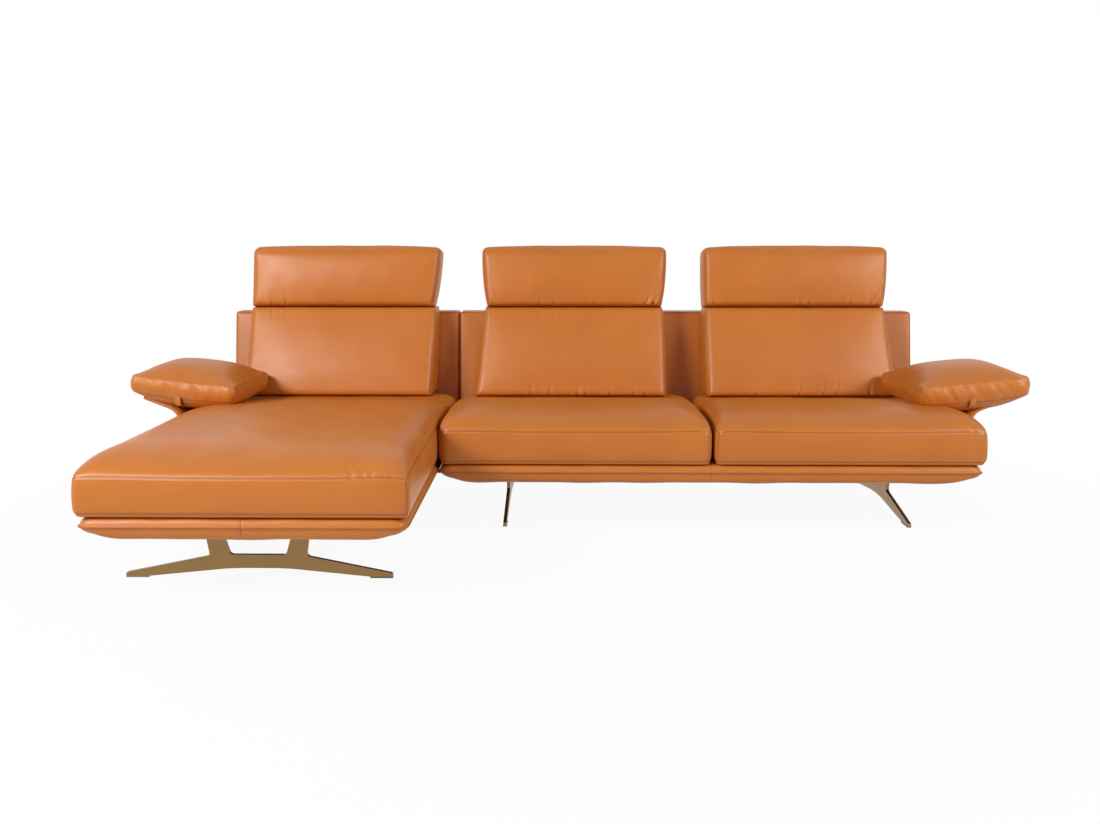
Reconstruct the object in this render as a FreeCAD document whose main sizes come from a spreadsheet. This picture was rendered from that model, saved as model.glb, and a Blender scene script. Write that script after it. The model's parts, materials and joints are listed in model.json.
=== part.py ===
import FreeCAD
import Part
import math
import os
import Sketcher

# An L-shaped leather sectional: a chaise module on the viewer's left and a two-seat module on the right.
# Millimetres. +X is the viewer's right, -Y the front, +Z up; the origin is on the floor, mid-footprint.
doc = FreeCAD.newDocument("chaise_sectional")
sheet = doc.addObject("Spreadsheet::Sheet", "sizes")
vec = FreeCAD.Vector


class Size:
    """A number together with the sheet formula that gives it."""

    def __init__(self, value, text):
        self.value = value
        self.text = text

    def __add__(self, other):
        other = as_size(other)
        return Size(self.value + other.value, "(%s + %s)" % (self.text, other.text))

    def __sub__(self, other):
        other = as_size(other)
        return Size(self.value - other.value, "(%s - %s)" % (self.text, other.text))

    def __mul__(self, other):
        other = as_size(other)
        return Size(self.value * other.value, "(%s * %s)" % (self.text, other.text))

    def __neg__(self):
        return Size(-self.value, "(0 - %s)" % self.text)


def as_size(item):
    """A plain number written as a Size, so that numbers and cells mix in one formula."""
    if isinstance(item, Size):
        return item
    return Size(float(item), "%.6f" % item)


def tangent(angle):
    """The tangent of an angle in degrees."""
    return Size(math.tan(math.radians(angle.value)), "tan(%s * 1 deg)" % angle.text)


def root(size):
    """The square root of a size."""
    return Size(math.sqrt(size.value), "sqrt(%s)" % size.text)


rows = []


def cell(alias, value, note):
    """One named size in the sheet."""
    rows.append(alias)
    row = len(rows)
    sheet.set("A%d" % row, alias)
    sheet.set("B%d" % row, str(value))
    sheet.setAlias("B%d" % row, alias)
    sheet.set("C%d" % row, note)
    return Size(float(value), "sizes." + alias)


# Overall layout
seat_pitch = cell("seat_pitch", 915, "width of one seat; three make the row")
chaise_depth = cell("chaise_depth", 1560, "chaise front to rear of the base")
sofa_depth = cell("sofa_depth", 913, "sofa seat front to rear of the base")
module_gap = cell("module_gap", 3, "gap between neighbouring modules and cushions")
play = cell("play", 0.3, "clearance between parts that lie against each other")
cushion_play = cell("cushion_play", 0.5, "clearance under a seat cushion")
# Base
leg_height = cell("leg_height", 195, "floor to the underside of the base")
base_height = cell("base_height", 64, "padded base, underside to top")
base_tuck = cell("base_tuck", 86, "how far the underside draws in under the knife edge")
edge_drop = cell("edge_drop", 26, "knife edge below the top of the base")
border_width = cell("border_width", 95, "width of the padded border round the rails")
rail_width = cell("rail_width", 30, "thickness of the perimeter rails")
cross_width = cell("cross_width", 80, "width of the rails that carry the legs")
# Seat cushions
seat_boxing = cell("seat_boxing", 116, "height of the cushion's side between its seams")
seat_crown = cell("seat_crown", 60, "rise of the seat above its top seam")
# Back
panel_height = cell("panel_height", 450, "back panel above the base")
panel_top = cell("panel_top", 88, "depth of the panel at its top")
panel_foot = cell("panel_foot", 151, "depth of the panel at its foot")
panel_setback = cell("panel_setback", 40, "rear of the panel's foot to the rear of the base")
panel_wall = cell("panel_wall", 14, "padding and leather round the back frame")
back_lean = cell("back_lean", 12, "lean of the back panel's front")
back_width = cell("back_width", 735, "width of a back cushion and its headrest")
back_foot = cell("back_foot", 167, "panel's foot to the front of a back cushion at the seat")
crease_rise = cell("crease_rise", 474, "top of a back cushion above the base")
board_thick = cell("board_thick", 12, "plywood boards")
chaise_shift = cell("chaise_shift", 12, "chaise back cushion moved in from its seat's middle")
middle_shift = cell("middle_shift", 8, "middle back cushion moved from its seat's middle")
sofa_shift = cell("sofa_shift", 32, "end back cushion moved in from its seat's middle")
# Headrests
hinge_radius = cell("hinge_radius", 48, "rounded lower rear of a headrest, about its hinge")
headrest_rise = cell("headrest_rise", 182, "hinge to the top of a headrest, before its crown")
headrest_front = cell("headrest_front", 57, "hinge to the front of a headrest")
headrest_lean = cell("headrest_lean", 9, "lean of a headrest at rest")
hinge_spread = cell("hinge_spread", 220, "seat middle to a hinge")
# Arms
arm_width = cell("arm_width", 380, "arm cushion across")
arm_length = cell("arm_length", 390, "arm cushion front to rear")
arm_boxing = cell("arm_boxing", 56, "arm cushion between its seams")
arm_crown = cell("arm_crown", 46, "rise of an arm cushion above its top seam")
arm_belly = cell("arm_belly", 22, "sag of an arm cushion below its lower seam")
arm_slope = cell("arm_slope", 6.5, "inward slope of an arm cushion")
arm_rise = cell("arm_rise", 83, "seat's top seam to the middle of an arm cushion's lower seam")
arm_out = cell("arm_out", -1, "middle of an arm cushion beyond the seat's end")
arm_setback = cell("arm_setback", 175, "sofa seat front to the front of an arm cushion")
wing_thick = cell("wing_thick", 26, "padded arm wing")
wing_bend = cell("wing_bend", 50, "inner radius of the wing's outward curve")
wing_turn = cell("wing_turn", 70, "turn of the wing's outward curve")
wing_reach = cell("wing_reach", 100, "straight length from the curve to the wing's edge")
wing_start = cell("wing_start", 102, "base top to the start of the wing's curve")
wing_length = cell("wing_length", 560, "wing front to rear")
wing_gap = cell("wing_gap", 3.5, "seat's end to the wing")
wing_setback = cell("wing_setback", 25, "arm cushion's front to the wing's front")
strap_width = cell("strap_width", 30, "strap that ties an arm cushion on")
strap_out = cell("strap_out", 24, "middle of a strap beyond the seat's end")
strap_run = cell("strap_run", 100, "length of a strap under its cushion")
strap_thick = cell("strap_thick", 3, "thickness of a strap")
# Legs
chaise_span = cell("chaise_span", 812, "chaise leg, foot end to foot end")
sofa_span = cell("sofa_span", 736, "sofa leg, foot end to foot end")
leg_plate = cell("leg_plate", 12, "thickness of the leg plate")
leg_arm = cell("leg_arm", 260, "foot end to the waist of a leg")
leg_foot = cell("leg_foot", 70, "length of a foot on the floor")
leg_arch = cell("leg_arch", 30, "underside of the bridge above the floor")
leg_bar = cell("leg_bar", 72, "top of the bridge above the floor")
glide_thick = cell("glide_thick", 4, "glide pads")
flange_thick = cell("flange_thick", 4, "mounting flanges welded to a leg")
chaise_leg_setback = cell("chaise_leg_setback", 267, "chaise front or rear to a leg")
chaise_leg_shift = cell("chaise_leg_shift", 38, "chaise legs moved out from the middle")
sofa_leg_setback = cell("sofa_leg_setback", 153, "sofa seat front to the front foot")
sofa_left_inset = cell("sofa_left_inset", 216, "module split to the left sofa leg")
sofa_right_inset = cell("sofa_right_inset", 186, "sofa end to the right sofa leg")
doc.recompute()

half = seat_pitch * 1.5
split = half - seat_pitch * 2
front = chaise_depth * -0.5
rear = chaise_depth * 0.5
sofa_front = rear - sofa_depth
base_top = leg_height + base_height
panel_y = rear - panel_setback - panel_foot
panel_z = base_top + panel_height
panel_front_top = panel_y + panel_height * tangent(back_lean)
frame_foot = rear - border_width - 41
seam_z = base_top + cushion_play + seat_boxing
crease_z = base_top + crease_rise
modules = {
    "chaise": (-half, split - module_gap * 0.5, front, rear),
    "sofa": (split + module_gap * 0.5, half, sofa_front, rear),
}
nodes = {}


def keep(node, obj):
    """Names a finished sub-part."""
    obj.Label = node
    nodes[node] = obj
    return obj


def bind(obj, pairs):
    """Binds properties to sheet formulas."""
    for prop, item in pairs:
        obj.setExpression(prop, as_size(item).text)


def box(name, sx, sy, sz, x, y, z):
    """A block with its least corner at x, y, z."""
    obj = doc.addObject("Part::Box", name)
    bind(obj, (("Length", sx), ("Width", sy), ("Height", sz)))
    bind(obj, (("Placement.Base.x", x), ("Placement.Base.y", y), ("Placement.Base.z", z)))
    return obj


def prism(name, sides, radius, length, x, y, z):
    """An upright bar with flat sides standing at x, y, z."""
    obj = doc.addObject("Part::Prism", name)
    obj.Polygon = sides
    bind(obj, (("Circumradius", radius), ("Height", length)))
    bind(obj, (("Placement.Base.x", x), ("Placement.Base.y", y), ("Placement.Base.z", z)))
    return obj


def axle(name, radius, length, x, y, z):
    """A cylinder along +X that starts at x, y, z."""
    obj = doc.addObject("Part::Cylinder", name)
    obj.Placement = FreeCAD.Placement(vec(0, 0, 0), FreeCAD.Rotation(vec(0, 1, 0), 90))
    bind(obj, (("Radius", radius), ("Height", length)))
    bind(obj, (("Placement.Base.x", x), ("Placement.Base.y", y), ("Placement.Base.z", z)))
    return obj


def group(name, members):
    """Several separate solids as one object."""
    obj = doc.addObject("Part::Compound", name)
    obj.Links = members
    return obj


def cut(name, base, tool):
    """The base with the tool taken out of it."""
    obj = doc.addObject("Part::Cut", name)
    obj.Base = base
    obj.Tool = tool
    return obj


def joined(name, members):
    """Several solids welded or turned as one."""
    obj = doc.addObject("Part::MultiFuse", name)
    obj.Shapes = members
    return obj


def solid(name, shape):
    """A soft form or bent strip given by its sections."""
    obj = doc.addObject("Part::Feature", name)
    obj.Shape = shape
    return obj


def origin_plane(body, role):
    """One of a body's own origin planes."""
    for item in body.Origin.OriginFeatures:
        if item.Role == role:
            return item
    return None


def outline(body, name, role, corners, holes=(), offset=None):
    """A closed sketch through corners given as pairs of sizes, with round holes in it."""
    sketch = body.newObject("Sketcher::SketchObject", name)
    sketch.AttachmentSupport = [(origin_plane(body, role), "")]
    sketch.MapMode = "FlatFace"
    if offset is not None:
        bind(sketch, (("AttachmentOffset.Base.z", offset),))
    corners = [(as_size(a), as_size(b)) for a, b in corners]
    count = len(corners)
    for i in range(count):
        a = corners[i]
        b = corners[(i + 1) % count]
        line = Part.LineSegment(vec(a[0].value, a[1].value, 0), vec(b[0].value, b[1].value, 0))
        sketch.addGeometry(line, False)
    for i in range(count):
        sketch.addConstraint(Sketcher.Constraint("Coincident", i, 2, (i + 1) % count, 1))
    for i in range(count):
        for kind, item in (("DistanceX", corners[i][0]), ("DistanceY", corners[i][1])):
            place = sketch.addConstraint(Sketcher.Constraint(kind, -1, 1, i, 1, item.value))
            sketch.setExpression("Constraints[%d]" % place, item.text)
    for a, b, radius in holes:
        centre = vec(as_size(a).value, as_size(b).value, 0)
        ring = sketch.addGeometry(Part.Circle(centre, vec(0, 0, 1), as_size(radius).value), False)
        for kind, item in (("DistanceX", as_size(a)), ("DistanceY", as_size(b))):
            place = sketch.addConstraint(Sketcher.Constraint(kind, -1, 1, ring, 3, item.value))
            sketch.setExpression("Constraints[%d]" % place, item.text)
        place = sketch.addConstraint(Sketcher.Constraint("Radius", ring, as_size(radius).value))
        sketch.setExpression("Constraints[%d]" % place, as_size(radius).text)
    return sketch


def pad(body, name, sketch, length, both=True):
    """A pad of a sketch, to both sides of its plane or to one."""
    item = body.newObject("PartDesign::Pad", name)
    item.Profile = sketch
    bind(item, (("Length", length),))
    if both:
        item.SideType = "Symmetric"
    return item


def round_edges(body, name, radius, spots):
    """A fillet on the straight edges whose middles lie at the given spots."""
    doc.recompute()
    tip = body.Tip
    names = []
    for spot in spots:
        point = vec(*[as_size(s).value for s in spot])
        gaps = [(e.CenterOfMass - point).Length for e in tip.Shape.Edges]
        names.append("Edge%d" % (gaps.index(min(gaps)) + 1))
    item = body.newObject("PartDesign::Fillet", name)
    item.Base = (tip, names)
    bind(item, (("Radius", radius),))
    return item


def arc(a, b, c):
    """A circular arc through three points."""
    return Part.Arc(vec(*a), vec(*b), vec(*c)).toShape()


def line(a, b):
    """A straight edge."""
    return Part.makeLine(vec(*a), vec(*b))


def loft(wires, ruled=False):
    """A closed solid through a row of closed sections."""
    return Part.makeLoft(wires, True, ruled)


# Padded bases: a knife edge all round, a thin layer sloping in above it and a hull drawn in below.
def rounded_rectangle(x0, x1, y0, y1, z, radius):
    """A rectangle with quarter-circle corners at height z."""
    k = radius * (1 - math.sqrt(0.5))
    r = radius
    edges = [
        line((x0 + r, y0, z), (x1 - r, y0, z)),
        arc((x1 - r, y0, z), (x1 - k, y0 + k, z), (x1, y0 + r, z)),
        line((x1, y0 + r, z), (x1, y1 - r, z)),
        arc((x1, y1 - r, z), (x1 - k, y1 - k, z), (x1 - r, y1, z)),
        line((x1 - r, y1, z), (x0 + r, y1, z)),
        arc((x0 + r, y1, z), (x0 + k, y1 - k, z), (x0, y1 - r, z)),
        line((x0, y1 - r, z), (x0, y0 + r, z)),
        arc((x0, y0 + r, z), (x0 + k, y0 + k, z), (x0 + r, y0, z)),
    ]
    return Part.Wire(edges)


def base_border(x0, x1, y0, y1):
    """The padded ring: hull and top layer lofted apart so that their edge stays sharp."""
    x0, x1, y0, y1 = [s.value for s in (x0, x1, y0, y1)]
    low = leg_height.value
    top = base_top.value
    edge = top - edge_drop.value
    tuck = base_tuck.value
    rise = edge - low
    hull = ((0.0, 1.0), (0.1, 0.72), (0.34, 0.36), (0.66, 0.12), (1.0, 0.0))
    under = [(low + rise * a, tuck * b) for a, b in hull]
    upper = [(edge, 0.0), ((edge + top) / 2, 5.0), (top, 14.0)]
    halves = []
    for levels in (under, upper):
        wires = []
        for z, inset in levels:
            wires.append(rounded_rectangle(x0 + inset, x1 - inset, y0 + inset, y1 - inset, z, 32.0))
        halves.append(loft(wires, True))
    wall = border_width.value
    hole = Part.makeBox(x1 - x0 - 2 * wall, y1 - y0 - 2 * wall, top - low + 20)
    hole.translate(vec(x0 + wall, y0 + wall, low - 10))
    return halves[0].fuse(halves[1]).removeSplitter().cut(hole)


for module, (x0, x1, y0, y1) in modules.items():
    keep(module + "_base_border", solid(module + "_border", base_border(x0, x1, y0, y1)))


# Legs: one bent-looking W of flat plate with welded flanges, feet on glide pads.
def leg(node, span, x, y, turned):
    """Half of the plate and its flange, mirrored, with the corners rounded."""
    body = doc.addObject("PartDesign::Body", node)
    end = span * 0.5 - 2
    waist = span * 0.5 - leg_arm
    top = leg_height - flange_thick
    corners = [
        (0, leg_arch),
        (waist - 95, leg_arch),
        (waist - 45, leg_arch - 2),
        (span * 0.5 - leg_foot, glide_thick),
        (end, glide_thick),
        (end, glide_thick + 11),
        (waist, leg_bar - 4),
        (waist + 19, top),
        (waist - 26, top),
        (waist - 62, leg_bar),
        (0, leg_bar),
    ]
    plate = pad(body, "plate", outline(body, "plate_outline", "XZ_Plane", corners), leg_plate)
    middle = waist - 3.5
    plan = [(middle - 45, -28), (middle + 45, -28), (middle + 45, 28), (middle - 45, 28)]
    flat = outline(body, "flange_outline", "XY_Plane", plan, (), top)
    flange = pad(body, "flange", flat, flange_thick, False)
    features = [plate, flange]
    for across in (-18, 18):
        square = [(middle - 3.4, across - 3.4), (middle + 3.4, across - 3.4),
                  (middle + 3.4, across + 3.4), (middle - 3.4, across + 3.4)]
        hole = body.newObject("PartDesign::Pocket", "screw_hole")
        hole.Profile = outline(body, "hole_outline", "XY_Plane", square, (), leg_height)
        bind(hole, (("Length", flange_thick),))
        features.append(hole)
    mirror = body.newObject("PartDesign::Mirrored", "other_half")
    mirror.Originals = features
    mirror.MirrorPlane = (origin_plane(body, "YZ_Plane"), [""])
    body.Tip = mirror
    inner = []
    for side in (1, -1):
        inner.append((waist * side, 0, leg_bar - 4))
        inner.append(((waist - 62) * side, 0, leg_bar))
    body.Tip = round_edges(body, "corner_rounds", 12, inner)
    ends = [(end * side, 0, glide_thick + 11) for side in (1, -1)]
    body.Tip = round_edges(body, "foot_rounds", 6, ends)
    turn = 90 if turned else 0
    body.Placement = FreeCAD.Placement(vec(0, 0, 0), FreeCAD.Rotation(vec(0, 0, 1), turn))
    bind(body, (("Placement.Base.x", x), ("Placement.Base.y", y)))
    return keep(node, body)


chaise_mid = (split - half) * 0.5
chaise_leg_x = chaise_mid - chaise_leg_shift
sofa_leg_y = sofa_front + sofa_leg_setback + sofa_span * 0.5
legs = {
    "chaise": (
        ("chaise_front_leg", chaise_span, chaise_leg_x, front + chaise_leg_setback, False),
        ("chaise_rear_leg", sofa_span, chaise_leg_x, rear - chaise_leg_setback, False),
    ),
    "sofa": (
        ("sofa_left_leg", sofa_span, split + sofa_left_inset, sofa_leg_y, True),
        ("sofa_right_leg", sofa_span, half - sofa_right_inset, sofa_leg_y, True),
    ),
}
for module in legs:
    pads = []
    for node, span, x, y, turned in legs[module]:
        leg(node, span, x, y, turned)
        for side in (-1, 1):
            mid = (span * 0.5 - leg_foot * 0.5 - 1) * side
            if turned:
                pads.append(box(node + "_pad", 14, leg_foot - 2, glide_thick,
                                x - 7, y + mid - leg_foot * 0.5 + 1, 0))
            else:
                pads.append(box(node + "_pad", leg_foot - 2, 14, glide_thick,
                                x + mid - leg_foot * 0.5 + 1, y - 7, 0))
    keep(module + "_leg_glides", group(module + "_glides", pads))


# Screw places: leg flanges, arm brackets and module connectors, each with the height under its head.
rail_mid = border_width + play + rail_width * 0.5
arm_front = sofa_front + arm_setback
wing_front = arm_front + wing_setback
bracket_y = (wing_front + 80, wing_front + wing_length - 100)
connector_y = (sofa_front + 190, rear - 260)
connector_z = leg_height - play - 4
bracket_z = leg_height - play - 5
screws = {"chaise": [], "sofa": []}
for module in legs:
    for node, span, x, y, turned in legs[module]:
        reach = span * 0.5 - leg_arm - 3.5
        for side in (-1, 1):
            for across in (-18, 18):
                if turned:
                    spot = (x + across, y + reach * side)
                else:
                    spot = (x + reach * side, y + across)
                screws[module].append((spot[0], spot[1], leg_height - flange_thick))
for y in bracket_y:
    screws["chaise"].append((-half + rail_mid, y, bracket_z))
    screws["sofa"].append((half - rail_mid, y, bracket_z))
hook_x = split - module_gap * 0.5 - rail_mid
stud_x = split + module_gap * 0.5 + rail_mid
for y in connector_y:
    screws["chaise"].append((hook_x, y, connector_z))
    screws["sofa"].append((stud_x + 10, y, connector_z))
for module in screws:
    made = []
    for x, y, z in screws[module]:
        shank = prism("shank", 8, 3, leg_height + 40 - z, x, y, z)
        head = prism("head", 6, 6, 3.5, x, y, z - 3.5)
        made.append(joined("screw", [shank, head]))
    keep(module + "_screws", group(module + "_screw_set", made))

# Wooden rails inside each base; the screws cut their own thread in them.
rail_low = leg_height + 1
rail_tall = base_height - 6
for module, (x0, x1, y0, y1) in modules.items():
    inset = border_width + play
    inner_x = x0 + inset + rail_width
    inner_y = y0 + inset + rail_width
    clear_x = x1 - x0 - inset * 2 - rail_width * 2
    clear_y = y1 - y0 - inset * 2 - rail_width * 2
    long_y = y1 - y0 - inset * 2
    rails = [
        box("left_rail", rail_width, long_y, rail_tall, x0 + inset, y0 + inset, rail_low),
        box("right_rail", rail_width, long_y, rail_tall, x1 - inset - rail_width, y0 + inset, rail_low),
        box("front_rail", clear_x, rail_width, rail_tall, inner_x, y0 + inset, rail_low),
        box("rear_rail", clear_x, rail_width, rail_tall, inner_x, y1 - inset - rail_width, rail_low),
    ]
    for node, span, x, y, turned in legs[module]:
        if turned:
            rails.append(box("cross_rail", cross_width, clear_y, rail_tall,
                             x - cross_width * 0.5, inner_y, rail_low))
        else:
            rails.append(box("cross_rail", clear_x, cross_width, rail_tall,
                             inner_x, y - cross_width * 0.5, rail_low))
    keep(module + "_base_rails", group(module + "_rails", rails))
    # Dust cover below the rails; the screws pierce it.
    clear = border_width + play
    keep(module + "_dust_cover", box(module + "_dust", x1 - x0 - clear * 2, y1 - y0 - clear * 2, 1,
                                     x0 + clear, y0 + clear, leg_height))
    # Elastic webbing: front-to-rear straps on the rails, cross straps over them.
    straps = []
    first = x0 + border_width + rail_width + 38
    bays = 2 if module == "chaise" else 4
    step = (x1 - x0 - (border_width + rail_width + 8) * 2 - 30) * (1.0 / bays)
    for i in range(bays):
        for share in (1.0 / 3, 2.0 / 3):
            mid = first + step * i + (step - 30) * share
            straps.append(box("long_strap", 50, long_y - 12, 2, mid - 25, y0 + inset + 6, base_top - 5))
    ranks = 8 if module == "chaise" else 4
    reach_y = panel_y - y0 - inset - rail_width
    for i in range(ranks):
        mid = inner_y + reach_y * ((i + 0.5) / ranks)
        straps.append(box("cross_strap", x1 - x0 - inset * 2 - 12, 50, 2, x0 + inset + 6, mid - 25, base_top - 3))
    keep(module + "_webbing", group(module + "_straps", straps))
    deck = box("deck", x1 - x0 - clear * 2, frame_foot - 15 - y0 - clear, 0.8, x0 + clear, y0 + clear, base_top - 0.9)
    keep(module + "_deck_cloth", deck)

# Module connectors: forked plates under the chaise catch headed studs under the sofa.
forks = []
studs = []
for y in connector_y:
    reach = stud_x - hook_x + 2
    plate = box("fork_plate", reach, 40, 4, hook_x - 20, y - 20, connector_z)
    slot = box("fork_slot", 60, 10.6, 20, stud_x - 46, y - 5.3, leg_height - 14)
    bore = box("fork_bore", 6.8, 6.8, 20, hook_x - 3.4, y - 3.4, leg_height - 14)
    forks.append(cut("fork", plate, group("fork_holes", [slot, bore])))
    plate = box("stud_plate", 40, 40, 4, stud_x - 16, y - 20, connector_z)
    bore = box("stud_bore", 6.8, 6.8, 20, stud_x + 6.6, y - 3.4, leg_height - 14)
    neck = prism("stud_neck", 8, 5, 11, stud_x - 26, y, leg_height - 11)
    head = prism("stud_head", 8, 9, 3, stud_x - 26, y, leg_height - 14)
    arm = box("stud_arm", 30, 16, 0.2, stud_x - 36, y - 8, leg_height - 0.2)
    studs.append(cut("stud", joined("stud_body", [plate, neck, head, arm]), bore))
keep("connector_forks", group("forks", forks))
keep("connector_studs", group("studs", studs))


# Back panels: padded leather wedges over a wooden frame.
def back_panel(node, x0, x1):
    """A wedge that leans more in front than behind, hollow and open below."""
    body = doc.addObject("PartDesign::Body", node)
    low = base_top + 0.3
    rear_foot = panel_y + panel_foot
    rear_top = panel_front_top + panel_top
    shell = [(panel_y, low), (rear_foot, low), (rear_top, panel_z), (panel_front_top, panel_z)]
    pad(body, "shell", outline(body, "shell_outline", "YZ_Plane", shell), x1 - x0)
    wall = panel_wall
    lean = tangent(back_lean)
    core = [
        (panel_y + wall - lean * 20, low - 20),
        (rear_foot - wall, low - 20),
        (rear_top - wall, panel_z - wall),
        (panel_front_top + wall - lean * wall, panel_z - wall),
    ]
    hollow = body.newObject("PartDesign::Pocket", "hollow")
    hollow.Profile = outline(body, "core_outline", "YZ_Plane", core)
    bind(hollow, (("Length", x1 - x0 - wall * 2),))
    hollow.SideType = "Symmetric"
    edges = [(0, panel_front_top, panel_z), (0, rear_top, panel_z)]
    body.Tip = hollow
    body.Tip = round_edges(body, "top_rounds", 12, edges)
    bind(body, (("Placement.Base.x", (x0 + x1) * 0.5),))
    return keep(node, body)


def back_frame(node, x0, x1, uprights):
    """A leaning wooden slab with windows between its uprights and rails."""
    body = doc.addObject("PartDesign::Body", node + "_slab")
    foot = frame_foot
    low = base_top - 5
    top = panel_z - panel_wall - 5
    lean = (panel_front_top + panel_top - panel_wall - 4) - (foot + 40)
    side = [(foot, low), (foot + 40, low), (foot + 40 + lean, top), (foot + lean, top)]
    span = x1 - x0 - panel_wall * 2 - 0.6
    pad(body, "slab", outline(body, "slab_outline", "YZ_Plane", side), span)
    bind(body, (("Placement.Base.x", (x0 + x1) * 0.5),))
    windows = []
    first = x0 + border_width + rail_width + 8
    step = (x1 - x0 - (border_width + rail_width + 8) * 2 - 30) * (1.0 / (uprights - 1))
    starts = [x0 - 20] + [first + step * i + 30 for i in range(uprights)]
    stops = [first + step * i for i in range(uprights)] + [x1 + 20]
    for a, b in zip(starts, stops):
        windows.append(box("low_window", b - a, 300, 166, a, foot - 50, low - 5))
        windows.append(box("high_window", b - a, 300, top - low - 256, a, foot - 50, low + 206))
    return keep(node, cut(node, body, group("windows", windows)))


for module, uprights in (("chaise", 3), ("sofa", 5)):
    x0, x1 = modules[module][:2]
    back_panel(module + "_back_panel", x0, x1)
    back_frame(module + "_back_frame", x0, x1, uprights)


# Seat cushions: boxed, crowned, drawn in along their sides, lower under the back cushions.
def boxed_section(y, x0, x1, z0, z1, crown, belly, inset):
    """Bottom, two sides and a three-arc crown at one place along Y."""
    mid = (x0 + x1) / 2
    zm = (z0 + z1) / 2
    run = (x1 - x0) * 0.17
    side = 4.0
    a0 = x0 + inset + side
    a1 = x1 - inset - side
    high = z1 + crown
    near = z1 + crown * 0.84
    knee = z1 + crown * 0.55
    if belly > 0:
        floor = arc((a0, y, z0), (mid, y, z0 - belly), (a1, y, z0))
    else:
        floor = line((a0, y, z0), (a1, y, z0))
    edges = [
        floor,
        arc((a1, y, z0), (x1 - inset, y, zm), (a1, y, z1)),
        arc((a1, y, z1), (a1 - run * 0.4, y, knee), (a1 - run, y, near)),
        arc((a1 - run, y, near), (mid, y, high), (a0 + run, y, near)),
        arc((a0 + run, y, near), (a0 + run * 0.4, y, knee), (a0, y, z1)),
        arc((a0, y, z1), (x0 + inset, y, zm), (a0, y, z0)),
    ]
    return Part.Wire(edges)


def seat_cushion(x0, x1, y0, y1, flat_y):
    """Sections from the front boxing to the panel; the crown falls away before flat_y."""
    x0, x1, y0, y1, flat_y = [s.value for s in (x0, x1, y0, y1, flat_y)]
    z0 = base_top.value + cushion_play.value
    z1 = seam_z.value
    crown = seat_crown.value
    run = flat_y - y0
    deep = y1 - y0
    places = [8, 22, 45, 85, 140, 200, run * 0.45, run * 0.58, run * 0.7, run * 0.8, run * 0.9, run, deep]
    plan = [(0.0, 0.04, 7.0, 6.0)]
    for along in sorted(places):
        start = 1 - max(0.0, 1 - along / 260.0) ** 2.4
        stage = min(max((along - 0.5 * run) / (0.5 * run), 0.0), 1.0)
        fall = 0.33 + 0.67 * (0.5 + 0.5 * math.cos(math.pi * stage))
        plan.append((along, start * fall, 1.0 + 5.0 * math.sin(math.pi * along / deep), 0.0))
    wires = []
    for along, rise, inset, shrink in plan:
        wires.append(boxed_section(y0 + along, x0, x1, z0 + shrink, z1 - shrink, crown * rise, 0.0, inset))
    return loft(wires, True)


gap = module_gap * 0.5
seat_end = panel_y - 3
flat_from = panel_y - back_foot - 25
seats = {
    "chaise_seat_cushion": (-half, split - gap, front),
    "sofa_left_seat_cushion": (split + gap, split + seat_pitch - gap, sofa_front),
    "sofa_right_seat_cushion": (split + seat_pitch + gap, half, sofa_front),
}
for node, (x0, x1, y0) in seats.items():
    keep(node, solid(node, seat_cushion(x0, x1, y0, seat_end, flat_from)))


# Back cushions, headrests, boards and the ratchet hinges between them, three alike.
lean = math.radians(back_lean.value)
tilt = math.radians(headrest_lean.value)
hinge_y = panel_front_top - 45
hinge_z = crease_z + hinge_radius


def section(points, x):
    """Places a list of edges given as (y, z) points at x: two points a line, three an arc."""
    edges = []
    for run in points:
        run = [(x, p[0], p[1]) for p in run]
        if len(run) == 2:
            edges.append(line(run[0], run[1]))
        else:
            edges.append(arc(run[0], run[1], run[2]))
    return Part.Wire(edges)


def corner(a, c, b):
    """The middle point of a rounded corner that leaves a and reaches b near c."""
    mid = ((a[0] + b[0]) / 2, (a[1] + b[1]) / 2)
    return (mid[0] + 0.42 * (c[0] - mid[0]), mid[1] + 0.42 * (c[1] - mid[1]))


def toward(a, b, distance):
    """The point a given distance from a on the way to b."""
    span = math.hypot(b[0] - a[0], b[1] - a[1])
    return (a[0] + (b[0] - a[0]) * distance / span, a[1] + (b[1] - a[1]) * distance / span)


def back_section(x, inset, swell):
    """A back cushion across: flat behind and on top, full in front."""
    drawn = max(inset, 0.0)
    low = seam_z.value + seat_crown.value * 0.33 + 3 + drawn * 0.4
    high = crease_z.value - 0.6 - drawn * 0.5
    foot = panel_y.value
    slope = math.tan(lean)
    away = (board_thick.value + 0.7) / math.cos(lean)
    rear_low = (foot + (low - base_top.value) * slope - away, low)
    rear_high = (foot + (high - base_top.value) * slope - away, high)
    c1 = (foot - back_foot.value + inset, low)
    c2 = (hinge_y.value - headrest_front.value - 6 + inset, high)
    a1 = toward(c1, rear_low, 30)
    b1 = toward(c1, c2, 30)
    a2 = toward(c2, c1, 24)
    b2 = toward(c2, rear_high, 24)
    mid = ((b1[0] + a2[0]) / 2, (b1[1] + a2[1]) / 2)
    span = math.hypot(a2[0] - b1[0], a2[1] - b1[1])
    mid = (mid[0] - swell * (a2[1] - b1[1]) / span, mid[1] + swell * (a2[0] - b1[0]) / span)
    runs = [
        (rear_low, a1),
        (a1, corner(a1, c1, b1), b1),
        (b1, mid, a2),
        (a2, corner(a2, c2, b2), b2),
        (b2, rear_high),
        (rear_high, rear_low),
    ]
    return section(runs, x)


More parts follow.
